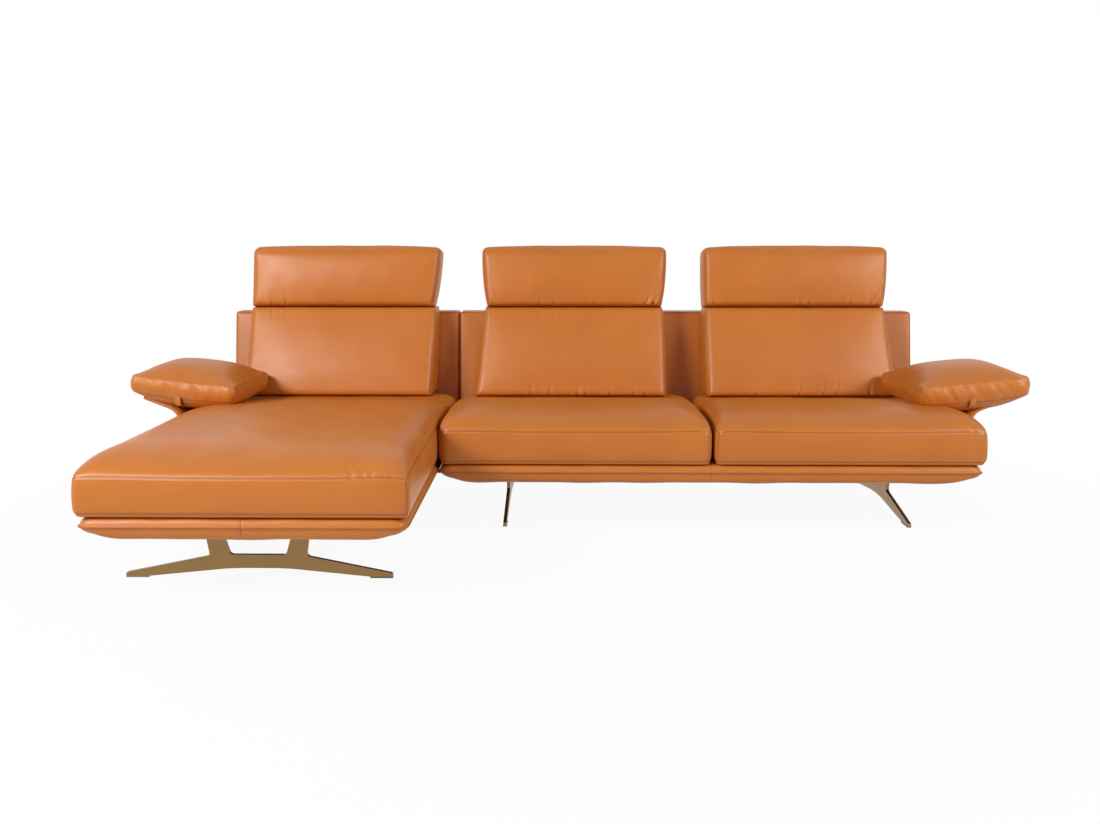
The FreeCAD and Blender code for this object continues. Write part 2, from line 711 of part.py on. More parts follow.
def headrest_section(x, inset, swell):
    """A headrest across, drawn about its hinge and leaning with it."""
    r = hinge_radius.value - max(inset, 0.0) * 0.25
    rise = headrest_rise.value - inset
    fore = -headrest_front.value + inset
    k = r * math.sqrt(0.5)
    slope = math.tan(math.radians(8))
    c1 = (fore, -r - fore * slope)
    c2 = (fore + 8, rise)
    c3 = (r, rise)
    tight = min(26.0, -fore * 0.6)
    a1 = toward(c1, (0, -r), tight)
    b1 = toward(c1, c2, tight)
    soft = min(34.0, (c3[0] - c2[0]) * 0.4)
    a2 = toward(c2, c1, soft)
    b2 = toward(c2, c3, soft)
    a3 = toward(c3, c2, soft)
    b3 = toward(c3, (r, 0), soft)
    face = ((b1[0] + a2[0]) / 2 - swell, (b1[1] + a2[1]) / 2)
    crest = ((b2[0] + a3[0]) / 2, rise + swell * 0.4)
    runs = [
        ((0, -r), (k, -k), (r, 0)),
        ((r, 0), b3),
        (b3, corner(b3, c3, a3), a3),
        (a3, crest, b2),
        (b2, corner(b2, c2, a2), a2),
        (a2, face, b1),
        (b1, corner(b1, c1, a1), a1),
        (a1, (0, -r)),
    ]
    turned = []
    for run in runs:
        row = []
        for p, q in run:
            row.append((hinge_y.value + p * math.cos(tilt) + q * math.sin(tilt),
                        hinge_z.value - p * math.sin(tilt) + q * math.cos(tilt)))
        turned.append(row)
    return section(turned, x)


def across(profile, middle):
    """Sections from end to end of a back cushion or headrest, drawn in at both ends."""
    w = back_width.value / 2
    plan = [(w, 24, 3), (w - 4, 13, 5), (w - 18, 4, 8), (w * 0.72, -2, 13), (0, -5, 16)]
    plan = [(-x, inset, swell) for x, inset, swell in plan] + plan[-2::-1]
    return loft([profile(middle + x, inset, swell) for x, inset, swell in plan], True)


def leaning_block(x0, x1, n0, n1, u0, u1):
    """A block against the back panel: n forward of its face, u up it from the panel's foot."""
    block = Part.makeBox(x1 - x0, n1 - n0, u1 - u0)
    block.translate(vec(x0, -n1, u0))
    block.rotate(vec(0, 0, 0), vec(1, 0, 0), -back_lean.value)
    block.translate(vec(0, panel_y.value, base_top.value))
    return block


def headrest_block(x0, x1, p0, p1, q0, q1):
    """A block inside a headrest: p behind its hinge, q above it."""
    block = Part.makeBox(x1 - x0, p1 - p0, q1 - q0)
    block.translate(vec(x0, p0, q0))
    block.rotate(vec(0, 0, 0), vec(1, 0, 0), -headrest_lean.value)
    block.translate(vec(0, hinge_y.value, hinge_z.value))
    return block


def lower_arm(side, middle):
    """The fixed hinge plate: an eye over a foot that is bent onto the back board."""
    body = doc.addObject("PartDesign::Body", "lower_arm")
    drop = hinge_radius + 4
    n0 = board_thick + 0.5
    top = (hinge_z - base_top) * Size(math.cos(lean), "cos(sizes.back_lean * 1 deg)")
    top = top + (hinge_y - panel_y) * Size(math.sin(lean), "sin(sizes.back_lean * 1 deg)")
    out = (hinge_z - base_top) * Size(math.sin(lean), "sin(sizes.back_lean * 1 deg)")
    out = out - (hinge_y - panel_y) * Size(math.cos(lean), "cos(sizes.back_lean * 1 deg)")
    corners = [
        (-n0, top - 210),
        (-out + 14, top - 210),
        (-out - 14, top - 130),
        (-out - 14, top + 5),
        (-out - 5, top + 14),
        (-out + 5, top + 14),
        (-out + 14, top + 5),
        (-out + 14, top - drop - 4),
        (-n0, top - drop - 24),
    ]
    web = outline(body, "web_outline", "YZ_Plane", corners, [(-out, top, 5.05)])
    pad(body, "web", web, 4)
    foot = [(-n0 - 4, top - 210), (-n0, top - 210), (-n0, top - drop - 24), (-n0 - 4, top - drop - 24)]
    flange = pad(body, "foot", outline(body, "foot_outline", "YZ_Plane", foot), 24)
    body.Tip = flange
    turn = FreeCAD.Rotation(vec(1, 0, 0), -back_lean.value)
    body.Placement = FreeCAD.Placement(vec(0, 0, 0), turn)
    bind(body, (("Placement.Base.x", middle + (hinge_spread + 2.5) * side),))
    bind(body, (("Placement.Base.y", panel_y), ("Placement.Base.z", base_top)))
    return body


def upper_arm(side, middle):
    """The moving hinge plate: an eye under a bar screwed to the headrest's board."""
    body = doc.addObject("PartDesign::Body", "upper_arm")
    corners = [(-12, 130), (-12, -5), (-5, -12), (5, -12), (12, -5), (12, 130)]
    bar = outline(body, "bar_outline", "YZ_Plane", corners, [(0, 0, 5.05)])
    body.Tip = pad(body, "bar", bar, 4)
    turn = FreeCAD.Rotation(vec(1, 0, 0), -headrest_lean.value)
    body.Placement = FreeCAD.Placement(vec(0, 0, 0), turn)
    bind(body, (("Placement.Base.x", middle + (hinge_spread - 2) * side),))
    bind(body, (("Placement.Base.y", hinge_y), ("Placement.Base.z", hinge_z)))
    return body


def hinge_pin(side, middle):
    """A pivot bolt through both eyes, with a hexagon head and nut."""
    inner = hinge_spread - 7
    outer = hinge_spread + 5
    low = inner if side > 0 else -outer
    bits = [axle("bolt", 5, outer - inner, middle + low, hinge_y, hinge_z)]
    for start, long in ((inner, 2.5), (outer, 3)):
        end = doc.addObject("Part::Prism", "bolt_end")
        end.Polygon = 6
        end.Placement = FreeCAD.Placement(vec(0, 0, 0), FreeCAD.Rotation(vec(0, 1, 0), 90))
        bind(end, (("Circumradius", 9), ("Height", long)))
        at = start if side > 0 else -start - long
        bind(end, (("Placement.Base.x", middle + at), ("Placement.Base.y", hinge_y)))
        bind(end, (("Placement.Base.z", hinge_z),))
        bits.append(end)
    return joined("pin", bits)


backs = {
    "chaise": chaise_mid + chaise_shift,
    "sofa_left": split + seat_pitch * 0.5 + middle_shift,
    "sofa_right": half - seat_pitch * 0.5 - sofa_shift,
}
rise_u = (crease_z.value - base_top.value) / math.cos(lean)
for seat, middle in backs.items():
    mx = middle.value
    spread = hinge_spread.value
    cushion = across(back_section, mx)
    for side in (-1, 1):
        at = mx + side * (spread + 2.5)
        cushion = cushion.cut(leaning_block(at - 22, at + 22, 5, 90, rise_u - 180, rise_u + 60))
    keep(seat + "_back_cushion", solid(seat + "_back", cushion))
    board = doc.addObject("Part::Box", seat + "_board")
    board.Placement = FreeCAD.Placement(vec(0, 0, 0), FreeCAD.Rotation(vec(1, 0, 0), -back_lean.value))
    bind(board, (("Length", back_width - 70), ("Width", board_thick), ("Height", panel_height - 155)))
    lift = Size(150 * math.cos(lean), "(150 * cos(sizes.back_lean * 1 deg))")
    bind(board, (("Placement.Base.x", middle - back_width * 0.5 + 35),))
    thick = (board_thick + 0.3) * Size(math.cos(lean), "cos(sizes.back_lean * 1 deg)")
    sink = (board_thick + 0.3) * Size(math.sin(lean), "sin(sizes.back_lean * 1 deg)")
    bind(board, (("Placement.Base.y", panel_y + lift * tangent(back_lean) - thick),))
    bind(board, (("Placement.Base.z", base_top + lift + sink),))
    keep(seat + "_back_board", board)
    # The headrest's foam is cut for its board, its hinge bars and the eyes.
    pillow = across(headrest_section, mx)
    pillow = pillow.cut(headrest_block(mx - spread + 4, mx + spread - 4, -5.4, 5.4, 54.6, 150.4))
    for side in (-1, 1):
        at = mx + side * (spread - 2)
        pillow = pillow.cut(headrest_block(at - 2.5, at + 2.5, -12.6, 12.6, 0, 130.6))
        reach = (hinge_radius.value + 4) / math.cos(math.pi / 12)
        ring = []
        for i in range(13):
            turn = math.pi * (2 * i + 1) / 12
            ring.append(vec(mx + side * spread - 14, hinge_y.value + reach * math.cos(turn),
                            hinge_z.value + reach * math.sin(turn)))
        eye = Part.Face(Part.makePolygon(ring)).extrude(vec(28, 0, 0))
        pillow = pillow.cut(eye)
    keep(seat + "_headrest", solid(seat + "_pillow", pillow))
    plank = doc.addObject("Part::Box", seat + "_plank")
    plank.Placement = FreeCAD.Placement(vec(0, 0, 0), FreeCAD.Rotation(vec(1, 0, 0), -headrest_lean.value))
    bind(plank, (("Length", hinge_spread * 2 - 8.6), ("Width", 10), ("Height", 95)))
    cosine = Size(math.cos(tilt), "cos(sizes.headrest_lean * 1 deg)")
    sine = Size(math.sin(tilt), "sin(sizes.headrest_lean * 1 deg)")
    bind(plank, (("Placement.Base.x", middle - hinge_spread + 4.3),))
    bind(plank, (("Placement.Base.y", hinge_y - cosine * 5 + sine * 55),))
    bind(plank, (("Placement.Base.z", hinge_z + sine * 5 + cosine * 55),))
    keep(seat + "_headrest_board", plank)
    keep(seat + "_hinge_feet", group(seat + "_feet", [lower_arm(s, middle) for s in (-1, 1)]))
    keep(seat + "_hinge_bars", group(seat + "_bars", [upper_arm(s, middle) for s in (-1, 1)]))
    keep(seat + "_hinge_pins", group(seat + "_pins", [hinge_pin(s, middle) for s in (-1, 1)]))


# Arms: a flared padded wing on two steel brackets, and a boxed cushion tied on by a leather strap.
def wing_strip(side, inner, thick, low, extra, y0, y1, foot):
    """A strip that rises, curves outward and runs straight, with an optional foot turned inward below."""
    bend = wing_bend.value + (wing_thick.value - inner - thick)
    turn = math.radians(wing_turn.value)
    base = half.value + wing_gap.value
    cx = base + wing_thick.value + wing_bend.value
    cz = base_top.value + wing_start.value
    reach = wing_reach.value + extra
    along = (math.sin(turn), math.cos(turn))

    def spot(radius, angle):
        return (cx - radius * math.cos(angle), cz + radius * math.sin(angle))

    big = bend + thick
    p_in = spot(big, turn)
    p_out = spot(bend, turn)
    tip_in = (p_in[0] + along[0] * reach, p_in[1] + along[1] * reach)
    tip_out = (p_out[0] + along[0] * reach, p_out[1] + along[1] * reach)
    nose = ((tip_in[0] + tip_out[0]) / 2 + along[0] * thick * 0.45,
            (tip_in[1] + tip_out[1]) / 2 + along[1] * thick * 0.45)
    xi = cx - big
    xo = cx - bend
    edges = [((xi, low), (xi, cz)),
             ((xi, cz), spot(big, turn / 2), p_in),
             (p_in, tip_in),
             (tip_in, nose, tip_out),
             (tip_out, p_out),
             (p_out, spot(bend, turn / 2), (xo, cz))]
    if foot > 0:
        edges.append(((xo, cz), (xo, low - thick)))
        edges.append(((xo, low - thick), (xo - foot, low - thick)))
        edges.append(((xo - foot, low - thick), (xo - foot, low)))
        edges.append(((xo - foot, low), (xi, low)))
    else:
        edges.append(((xo, cz), (xo, low)))
        edges.append(((xo, low), (xi, low)))
    made = []
    for run in edges:
        run = [(side * p[0], y0, p[1]) for p in run]
        made.append(line(run[0], run[1]) if len(run) == 2 else arc(run[0], run[1], run[2]))
    return Part.Face(Part.Wire(made)).extrude(vec(0, y1 - y0, 0))


def arm_cushion(side):
    """A small boxed cushion, crowned above and below, sloping in toward the seat."""
    y0 = arm_front.value
    long = arm_length.value
    w = arm_width.value / 2
    z0 = seam_z.value + arm_rise.value
    z1 = z0 + arm_boxing.value
    plan = [(0.0, 0.05, 6.0, 5.0)]
    for along in (7.0, 24.0, 60.0, long * 0.3, long * 0.5):
        full = 1 - max(0.0, 1 - 2 * along / long) ** 2.6
        plan.append((along, full, 1.0 + 3.0 * math.sin(math.pi * along / long), 0.0))
    plan = plan + [(long - a, b, c, d) for a, b, c, d in plan[-2::-1]]
    wires = []
    for along, full, inset, shrink in plan:
        wires.append(boxed_section(y0 + along, -w, w, z0 + shrink, z1 - shrink, arm_crown.value * full,
                                   arm_belly.value * full, inset))
    shape = loft(wires, True)
    shape.rotate(vec(0, 0, z0), vec(0, 1, 0), -arm_slope.value * side)
    shape.translate(vec((half.value + arm_out.value) * side, 0, 0))
    return shape


for module, side in (("chaise", -1), ("sofa", 1)):
    y0 = wing_front.value
    y1 = y0 + wing_length.value
    low = leg_height.value - play.value
    room = play.value
    core = wing_thick.value / 2 - 2.5
    wing = wing_strip(side, 0.0, wing_thick.value, leg_height.value + 12, 0.0, y0, y1, 0.0)
    brackets = []
    for at in bracket_y:
        a = at.value - 20
        b = at.value + 20
        wing = wing.cut(wing_strip(side, core - room, 5 + 2 * room, low - 20, -19.0, a - room, b + room, 0.0))
        bracket = wing_strip(side, core, 5.0, low, -20.0, a, b, rail_mid.value + 35)
        bore = Part.makeBox(6.8, 6.8, 20)
        bore.translate(vec(side * (half.value - rail_mid.value) - 3.4, at.value - 3.4, low - 15))
        brackets.append(bracket.cut(bore))
    keep(module + "_arm_wing", solid(module + "_wing", wing))
    keep(module + "_arm_brackets", solid(module + "_bars", Part.makeCompound(brackets)))
    keep(module + "_arm_cushion", solid(module + "_arm", arm_cushion(side)))
    # A strap from the cushion's lower front seam, back under the cushion to the wing's curve.
    body = doc.addObject("PartDesign::Body", module + "_strap")
    bend = wing_thick + wing_bend
    off = bend + wing_gap - strap_out - strap_width * 0.5
    z0 = base_top + wing_start + root(bend * bend - off * off) + play
    face = arm_front - play - 0.1
    corners = [
        (face - strap_thick, z0),
        (arm_front + strap_run, z0),
        (arm_front + strap_run, z0 + strap_thick),
        (face, z0 + strap_thick),
        (face, seam_z + arm_rise + 16),
        (face - strap_thick, seam_z + arm_rise + 16),
    ]
    body.Tip = pad(body, "strap", outline(body, "strap_outline", "YZ_Plane", corners), strap_width)
    bind(body, (("Placement.Base.x", (half + strap_out) * side),))
    keep(module + "_arm_strap", body)

doc.recompute()
for obj in doc.Objects:
    if "Invalid" in obj.State or "Error" in obj.State:
        raise RuntimeError("not built: " + obj.Label)
os.makedirs("parts", exist_ok=True)
for node, obj in nodes.items():
    shape = obj.Shape
    if shape.isNull() or not shape.isValid() or not shape.Solids:
        raise RuntimeError("bad shape: " + node)
    shape.exportStep("parts/%s.step" % node)
print(len(nodes), "parts")
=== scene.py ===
import json
import math
import bpy
import numpy as np
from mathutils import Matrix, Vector


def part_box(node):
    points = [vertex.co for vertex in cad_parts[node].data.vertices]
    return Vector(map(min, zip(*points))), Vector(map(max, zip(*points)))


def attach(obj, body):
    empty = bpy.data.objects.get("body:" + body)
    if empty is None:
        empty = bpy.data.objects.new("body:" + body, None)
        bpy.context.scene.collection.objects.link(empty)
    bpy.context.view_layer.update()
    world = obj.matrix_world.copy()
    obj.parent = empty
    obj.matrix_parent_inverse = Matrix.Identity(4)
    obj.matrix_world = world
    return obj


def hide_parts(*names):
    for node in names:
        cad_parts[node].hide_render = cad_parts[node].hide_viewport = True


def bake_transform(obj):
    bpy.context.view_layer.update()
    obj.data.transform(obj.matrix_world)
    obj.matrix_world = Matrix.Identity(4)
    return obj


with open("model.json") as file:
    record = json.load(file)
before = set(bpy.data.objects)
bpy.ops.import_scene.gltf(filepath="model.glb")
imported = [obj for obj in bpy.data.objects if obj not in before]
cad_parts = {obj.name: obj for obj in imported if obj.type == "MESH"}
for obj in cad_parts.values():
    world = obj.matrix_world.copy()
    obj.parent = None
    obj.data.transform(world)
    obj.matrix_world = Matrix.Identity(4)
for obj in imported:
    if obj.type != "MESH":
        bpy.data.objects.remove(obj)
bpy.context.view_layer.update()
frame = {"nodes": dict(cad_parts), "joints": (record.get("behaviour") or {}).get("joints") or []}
nodes = frame["nodes"]
scene = bpy.context.scene


# Studio: a plain pale floor and four large soft lamps in a white room.
# The camera stands in front of the seats, a little above the headrests, and looks slightly down.
# The rear lamp gives the back its light and is kept out of reflections.
photo_width = 1100
focal_length = 999.4
eye = (-0.0415, -3.3914, 1.0275)
eye_turn = (79.79, 0.0, 0.675)
room_light = 0.06
floor_colour = (0.9, 0.9, 0.9, 1)
floor_reach = 30.0
floor_white = 0.94
floor_near = 1.5
floor_far = 2.6
lamp_aim = (0.0, 0.2, 0.5)
lamps = {
    "key_lamp": ((-3.4, -3.0, 2.9), 1.5, 188.0),
    "fill_lamp": ((3.9, -2.3, 2.6), 1.5, 118.0),
    "top_lamp": ((0.0, -2.2, 3.6), 2.4, 6.0),
    "rear_lamp": ((0.8, 5.0, 3.0), 2.4, 70.0),
}


def add(tree, kind, inputs=None, **settings):
    """One shader node: its settings by name, and each input a value or another node's output."""
    item = tree.nodes.new(kind)
    for name, value in settings.items():
        setattr(item, name, value)
    for key, value in (inputs or {}).items():
        if isinstance(value, bpy.types.NodeSocket):
            tree.links.new(value, item.inputs[key])
        else:
            item.inputs[key].default_value = value
    return item


def reckon(tree, operation, *terms):
    """The result of one sum on values of a shader."""
    return add(tree, "ShaderNodeMath", dict(enumerate(terms)), operation=operation).outputs[0]


def ramp(tree, value, start, end, first=0.0, last=1.0, **settings):
    """A value carried over from one range to another, and held at its ends."""
    limits = {"Value": value, "From Min": start, "From Max": end, "To Min": first, "To Max": last}
    return add(tree, "ShaderNodeMapRange", limits, **settings).outputs[0]


def shown_white(tree):
    """1 where the room itself is seen, straight or in a reflection, and 0 where it only gives light."""
    path = tree.nodes.new("ShaderNodeLightPath")
    seen = reckon(tree, "MAXIMUM", path.outputs["Is Camera Ray"], path.outputs["Is Glossy Ray"])
    return reckon(tree, "MAXIMUM", seen, path.outputs["Is Transmission Ray"])


scene.view_settings.view_transform = "Standard"
lens = bpy.data.cameras.new("camera")
lens.sensor_width = 36.0
lens.lens = lens.sensor_width * focal_length / photo_width
camera = bpy.data.objects.new("camera", lens)
camera.location = eye
camera.rotation_euler = [math.radians(turn) for turn in eye_turn]
scene.collection.objects.link(camera)
scene.camera = camera

room = bpy.data.worlds.new("white_room")
scene.world = room
room.use_nodes = True
room_tree = room.node_tree
room_tree.nodes.clear()
room_level = reckon(room_tree, "MULTIPLY_ADD", shown_white(room_tree), 1.0 - room_light, room_light)
room_shader = add(room_tree, "ShaderNodeBackground", {"Color": (1, 1, 1, 1), "Strength": room_level})
add(room_tree, "ShaderNodeOutputWorld", {"Surface": room_shader.outputs[0]})

for lamp_name, (place, across, power) in lamps.items():
    lamp = bpy.data.lights.new(lamp_name, "AREA")
    lamp.size = across
    lamp.energy = power
    stand = bpy.data.objects.new(lamp_name, lamp)
    stand.location = place
    stand.visible_glossy = lamp_name != "rear_lamp"
    aim = Vector(lamp_aim) - Vector(place)
    stand.rotation_euler = aim.to_track_quat("-Z", "Y").to_euler()
    scene.collection.objects.link(stand)

floor_paint = bpy.data.materials.new("pale_floor")
floor_paint.use_nodes = True
floor_tree = floor_paint.node_tree
floor_tree.nodes.clear()
matt = add(floor_tree, "ShaderNodeBsdfDiffuse", {"Color": floor_colour})
white = add(floor_tree, "ShaderNodeEmission", {"Color": (1, 1, 1, 1), "Strength": 1.0})
floor_place = floor_tree.nodes.new("ShaderNodeTexCoord").outputs["Object"]
away = add(floor_tree, "ShaderNodeVectorMath", {0: floor_place}, operation="LENGTH").outputs["Value"]
clear = ramp(floor_tree, away, floor_near, floor_far, floor_white, interpolation_type="SMOOTHSTEP")
white_share = reckon(floor_tree, "MULTIPLY", shown_white(floor_tree), clear)
floor_parts = {0: white_share, 1: matt.outputs[0], 2: white.outputs[0]}
floor_mix = add(floor_tree, "ShaderNodeMixShader", floor_parts)
add(floor_tree, "ShaderNodeOutputMaterial", {"Surface": floor_mix.outputs[0]})
floor_mesh = bpy.data.meshes.new("floor")
floor_corners = np.array([(-1, -1, 0), (1, -1, 0), (1, 1, 0), (-1, 1, 0)]) * floor_reach
floor_mesh.from_pydata(floor_corners.tolist(), [], [(0, 1, 2, 3)])
floor_mesh.materials.append(floor_paint)
floor = bpy.data.objects.new("floor", floor_mesh)
scene.collection.objects.link(floor)


# Base rails, back frames and boards: beech and plywood, sawn, glued and screwed inside the upholstery.
# The grain runs along the width of the sofa, with fine pores between its rings.
def plain_material(name, rough, metal=0.0):
    """A material with its Principled shader: itself, its tree, the shader and its coordinates."""
    made = bpy.data.materials.new(name)
    made.use_nodes = True
    tree = made.node_tree
    shader = tree.nodes["Principled BSDF"]
    shader.inputs["Roughness"].default_value = rough
    shader.inputs["Metallic"].default_value = metal
    place = tree.nodes.new("ShaderNodeTexCoord").outputs["Object"]
    return made, tree, shader, place


def mixed(tree, share, first, second):
    """A colour between two others."""
    return add(tree, "ShaderNodeMix", {0: share, 6: first, 7: second}, data_type="RGBA").outputs[2]


def noise(tree, place, scale, detail, **more):
    """Cloudy noise from 0 to 1, of the given scale and detail."""
    inputs = {"Vector": place, "Scale": scale, "Detail": detail, **more}
    return add(tree, "ShaderNodeTexNoise", inputs).outputs[0]


def raise_bumps(tree, shader, height, depth, strength):
    """Lets a height pattern tilt the surface by up to the given depth."""
    bump = add(tree, "ShaderNodeBump", {"Height": height, "Distance": depth, "Strength": strength})
    tree.links.new(bump.outputs["Normal"], shader.inputs["Normal"])


def dress(ending, material):
    """Gives every CAD node whose name ends so the material."""
    for name, item in nodes.items():
        if name.endswith(ending):
            item.data.materials.clear()
            item.data.materials.append(material)


beech_dark = (0.34, 0.21, 0.11, 1)
beech_light = (0.62, 0.45, 0.27, 1)
beech_grain = (2.0, 26.0, 26.0)
pore_depth = 0.0004


def raw_beech():
    """Sawn wood: noise drawn out along the grain gives the rings their tone and the pores their relief."""
    made, tree, shader, place = plain_material("raw_beech", 0.62)
    stretch = add(tree, "ShaderNodeMapping", {"Vector": place, "Scale": beech_grain}).outputs[0]
    rings = noise(tree, stretch, 3.0, 6.0)
    pores = noise(tree, stretch, 30.0, 3.0)
    tree.links.new(mixed(tree, rings, beech_dark, beech_light), shader.inputs["Base Color"])
    raise_bumps(tree, shader, pores, pore_depth, 0.5)
    return made


dress(("base_rails", "back_frame", "back_board", "headrest_board"), raw_beech())


# Webbing, deck cloth and dust cover: woven elastic straps under a fine cloth, and a black cover below.
# All three are stapled to the rails; only the dust cover shows, from underneath.
webbing_tones = (0.02, 0.018, 0.016, 1), (0.09, 0.08, 0.07, 1)
webbing_threads = 160.0
cloth_tones = (0.008, 0.008, 0.009, 1), (0.03, 0.03, 0.032, 1)
cloth_threads = 320.0
thread_depth = 0.0003


def woven(name, dark, light, threads):
    """Two sets of threads that cross: the product of two waves along X and Y."""
    made, tree, shader, place = plain_material(name, 0.9)
    warp = add(tree, "ShaderNodeTexWave", {"Vector": place, "Scale": threads}, bands_direction="X")
    weft = add(tree, "ShaderNodeTexWave", {"Vector": place, "Scale": threads}, bands_direction="Y")
    crossing = reckon(tree, "MULTIPLY", warp.outputs["Fac"], weft.outputs["Fac"])
    tree.links.new(mixed(tree, crossing, dark, light), shader.inputs["Base Color"])
    raise_bumps(tree, shader, crossing, thread_depth, 0.6)
    return made


dress("webbing", woven("elastic_webbing", *webbing_tones, webbing_threads))
dress(("deck_cloth", "dust_cover"), woven("black_cloth", *cloth_tones, cloth_threads))


# Legs: W-shaped frames of flat plate, brushed along their length and coloured champagne bronze.
# Welded flanges screw up into the rails, and grey moulded pads keep the feet off the floor.
bronze_colour = (0.33, 0.20, 0.08, 1)
bronze_rough = 0.36
stroke_depth = 0.00008
stroke_gloss = 0.22
pad_dark = (0.16, 0.155, 0.15, 1)
pad_light = (0.26, 0.255, 0.25, 1)
pad_depth = 0.0002


def brushed(name, colour, rough, direction):
    """Metal brushed along one direction: noise stretched that way stirs roughness and relief."""
    made, tree, shader, place = plain_material(name, rough, 1.0)
    strokes = add(tree, "ShaderNodeMapping", {"Vector": place, "Scale": direction}).outputs[0]
    lines = noise(tree, strokes, 1.0, 4.0)
    cloud = noise(tree, place, 7.0, 3.0)
    dull = tuple(0.82 * c for c in colour[:3]) + (1,)
    tree.links.new(mixed(tree, cloud, dull, colour), shader.inputs["Base Color"])
    gloss = reckon(tree, "MULTIPLY_ADD", lines, stroke_gloss, rough - stroke_gloss / 2)
    tree.links.new(gloss, shader.inputs["Roughness"])
    raise_bumps(tree, shader, lines, stroke_depth, 0.35)
    return made


def glide_pad():
    """Moulded plastic: fine noise speckles its tone and its relief."""
    made, tree, shader, place = plain_material("glide_pad", 0.55)
    speckle = noise(tree, place, 400.0, 2.0)
    tree.links.new(mixed(tree, speckle, pad_dark, pad_light), shader.inputs["Base Color"])
    raise_bumps(tree, shader, speckle, pad_depth, 0.4)
    return made


dress(("front_leg", "rear_leg"), brushed("bronze_across", bronze_colour, bronze_rough, (12.0, 900.0, 900.0)))
dress(("left_leg", "right_leg"), brushed("bronze_along", bronze_colour, bronze_rough, (900.0, 12.0, 900.0)))
dress("leg_glides", glide_pad())


# Screws, hinges, brackets and connectors: pressed and turned steel, zinc-plated or painted black.
# The hinges hold the headrests, the brackets carry the arm wings and the connectors join the two modules.
zinc_colour = (0.5, 0.5, 0.51, 1)
black_colour = (0.02, 0.019, 0.018, 1)
zinc_steel = brushed("zinc_steel", zinc_colour, 0.42, (300.0, 300.0, 40.0))
black_steel = brushed("black_steel", black_colour, 0.5, (300.0, 40.0, 300.0))
dress(("screws", "hinge_feet", "hinge_bars", "hinge_pins"), zinc_steel)
dress(("forks", "studs", "arm_brackets"), black_steel)


# Padded bases: saddle-tan leather over foam, a thin top layer and a hull sewn together in a knife edge.
# The ring goes round the rails; one upright seam joins the leather in the middle of front and rear.
tan = (0.56, 0.172, 0.022, 1)
tan_deep = (0.51, 0.150, 0.017, 1)
# Painted shade: the dark seam colour below is laid into the leather along every seam, in a narrow band, in
# place of the shade that falls in the seam's fold.
seam_shade_colour = (0.14, 0.032, 0.005, 1)
thread_tan = (0.50, 0.19, 0.06, 1)
grain_depth = 0.0005
fold_shade_width = (0.0005, 0.0020)
stitch_offset = 0.0052
stitch_width = (0.0003, 0.0009)
stitch_length = 0.0055


def shader_group(name, ins, outs):
    """An empty shader node group with named sockets: its tree, its inputs node and its outputs node."""
    tree = bpy.data.node_groups.new(name, "ShaderNodeTree")
    for label, kind in ins:
        tree.interface.new_socket(label, in_out="INPUT", socket_type=kind)
    for label, kind in outs:
        tree.interface.new_socket(label, in_out="OUTPUT", socket_type=kind)
    return tree, tree.nodes.new("NodeGroupInput"), tree.nodes.new("NodeGroupOutput")


def leather_grain_group():
    """Smooth hide: fine pebbles, hairline creases that cross them, and slow drifts of tone and gloss."""
    vector, number = "NodeSocketVector", "NodeSocketFloat"
    tree, given, result = shader_group(
        "leather_grain", [("Vector", vector)], [("Height", number), ("Tone", number), ("Gloss", number)])
    at = given.outputs["Vector"]
    pebble = add(tree, "ShaderNodeTexVoronoi", {
        "Vector": at, "Scale": 520.0, "Smoothness": 0.7}, feature="SMOOTH_F1")
    crease = noise(tree, at, 95.0, 6.0, Distortion=0.8)
    drift = noise(tree, at, 4.5, 4.0, Roughness=0.55)
    patch = noise(tree, at, 17.0, 3.0)
    fine = reckon(tree, "MULTIPLY", pebble.outputs["Distance"], 0.5)
    height = reckon(tree, "ADD", fine, crease)
    tree.links.new(height, result.inputs["Height"])
    tree.links.new(ramp(tree, drift, 0.3, 0.7), result.inputs["Tone"])
    tree.links.new(patch, result.inputs["Gloss"])
    return tree


def seam_group():
    """A sewn seam: painted shade in the fold on the line, and beside it a row of stitches, cut into dashes
    by a wave.
    """
    number = "NodeSocketFloat"
    tree, given, result = shader_group(
        "seam_shade_and_stitches", [("Distance", number), ("Along", number)], [("FoldShade", number), ("Stitch", number)])
    away = given.outputs["Distance"]
    fold = ramp(tree, away, *fold_shade_width, 1.0, 0.0)
    off_row = reckon(tree, "ABSOLUTE", reckon(tree, "SUBTRACT", away, stitch_offset))
    row = ramp(tree, off_row, *stitch_width, 1.0, 0.0)
    turns = reckon(tree, "MULTIPLY", given.outputs["Along"], 2 * math.pi / stitch_length)
    wave = reckon(tree, "SINE", turns)
    dash = ramp(tree, wave, -0.6, -0.2)
    tree.links.new(fold, result.inputs["FoldShade"])
    tree.links.new(reckon(tree, "MULTIPLY", row, dash), result.inputs["Stitch"])
    return tree


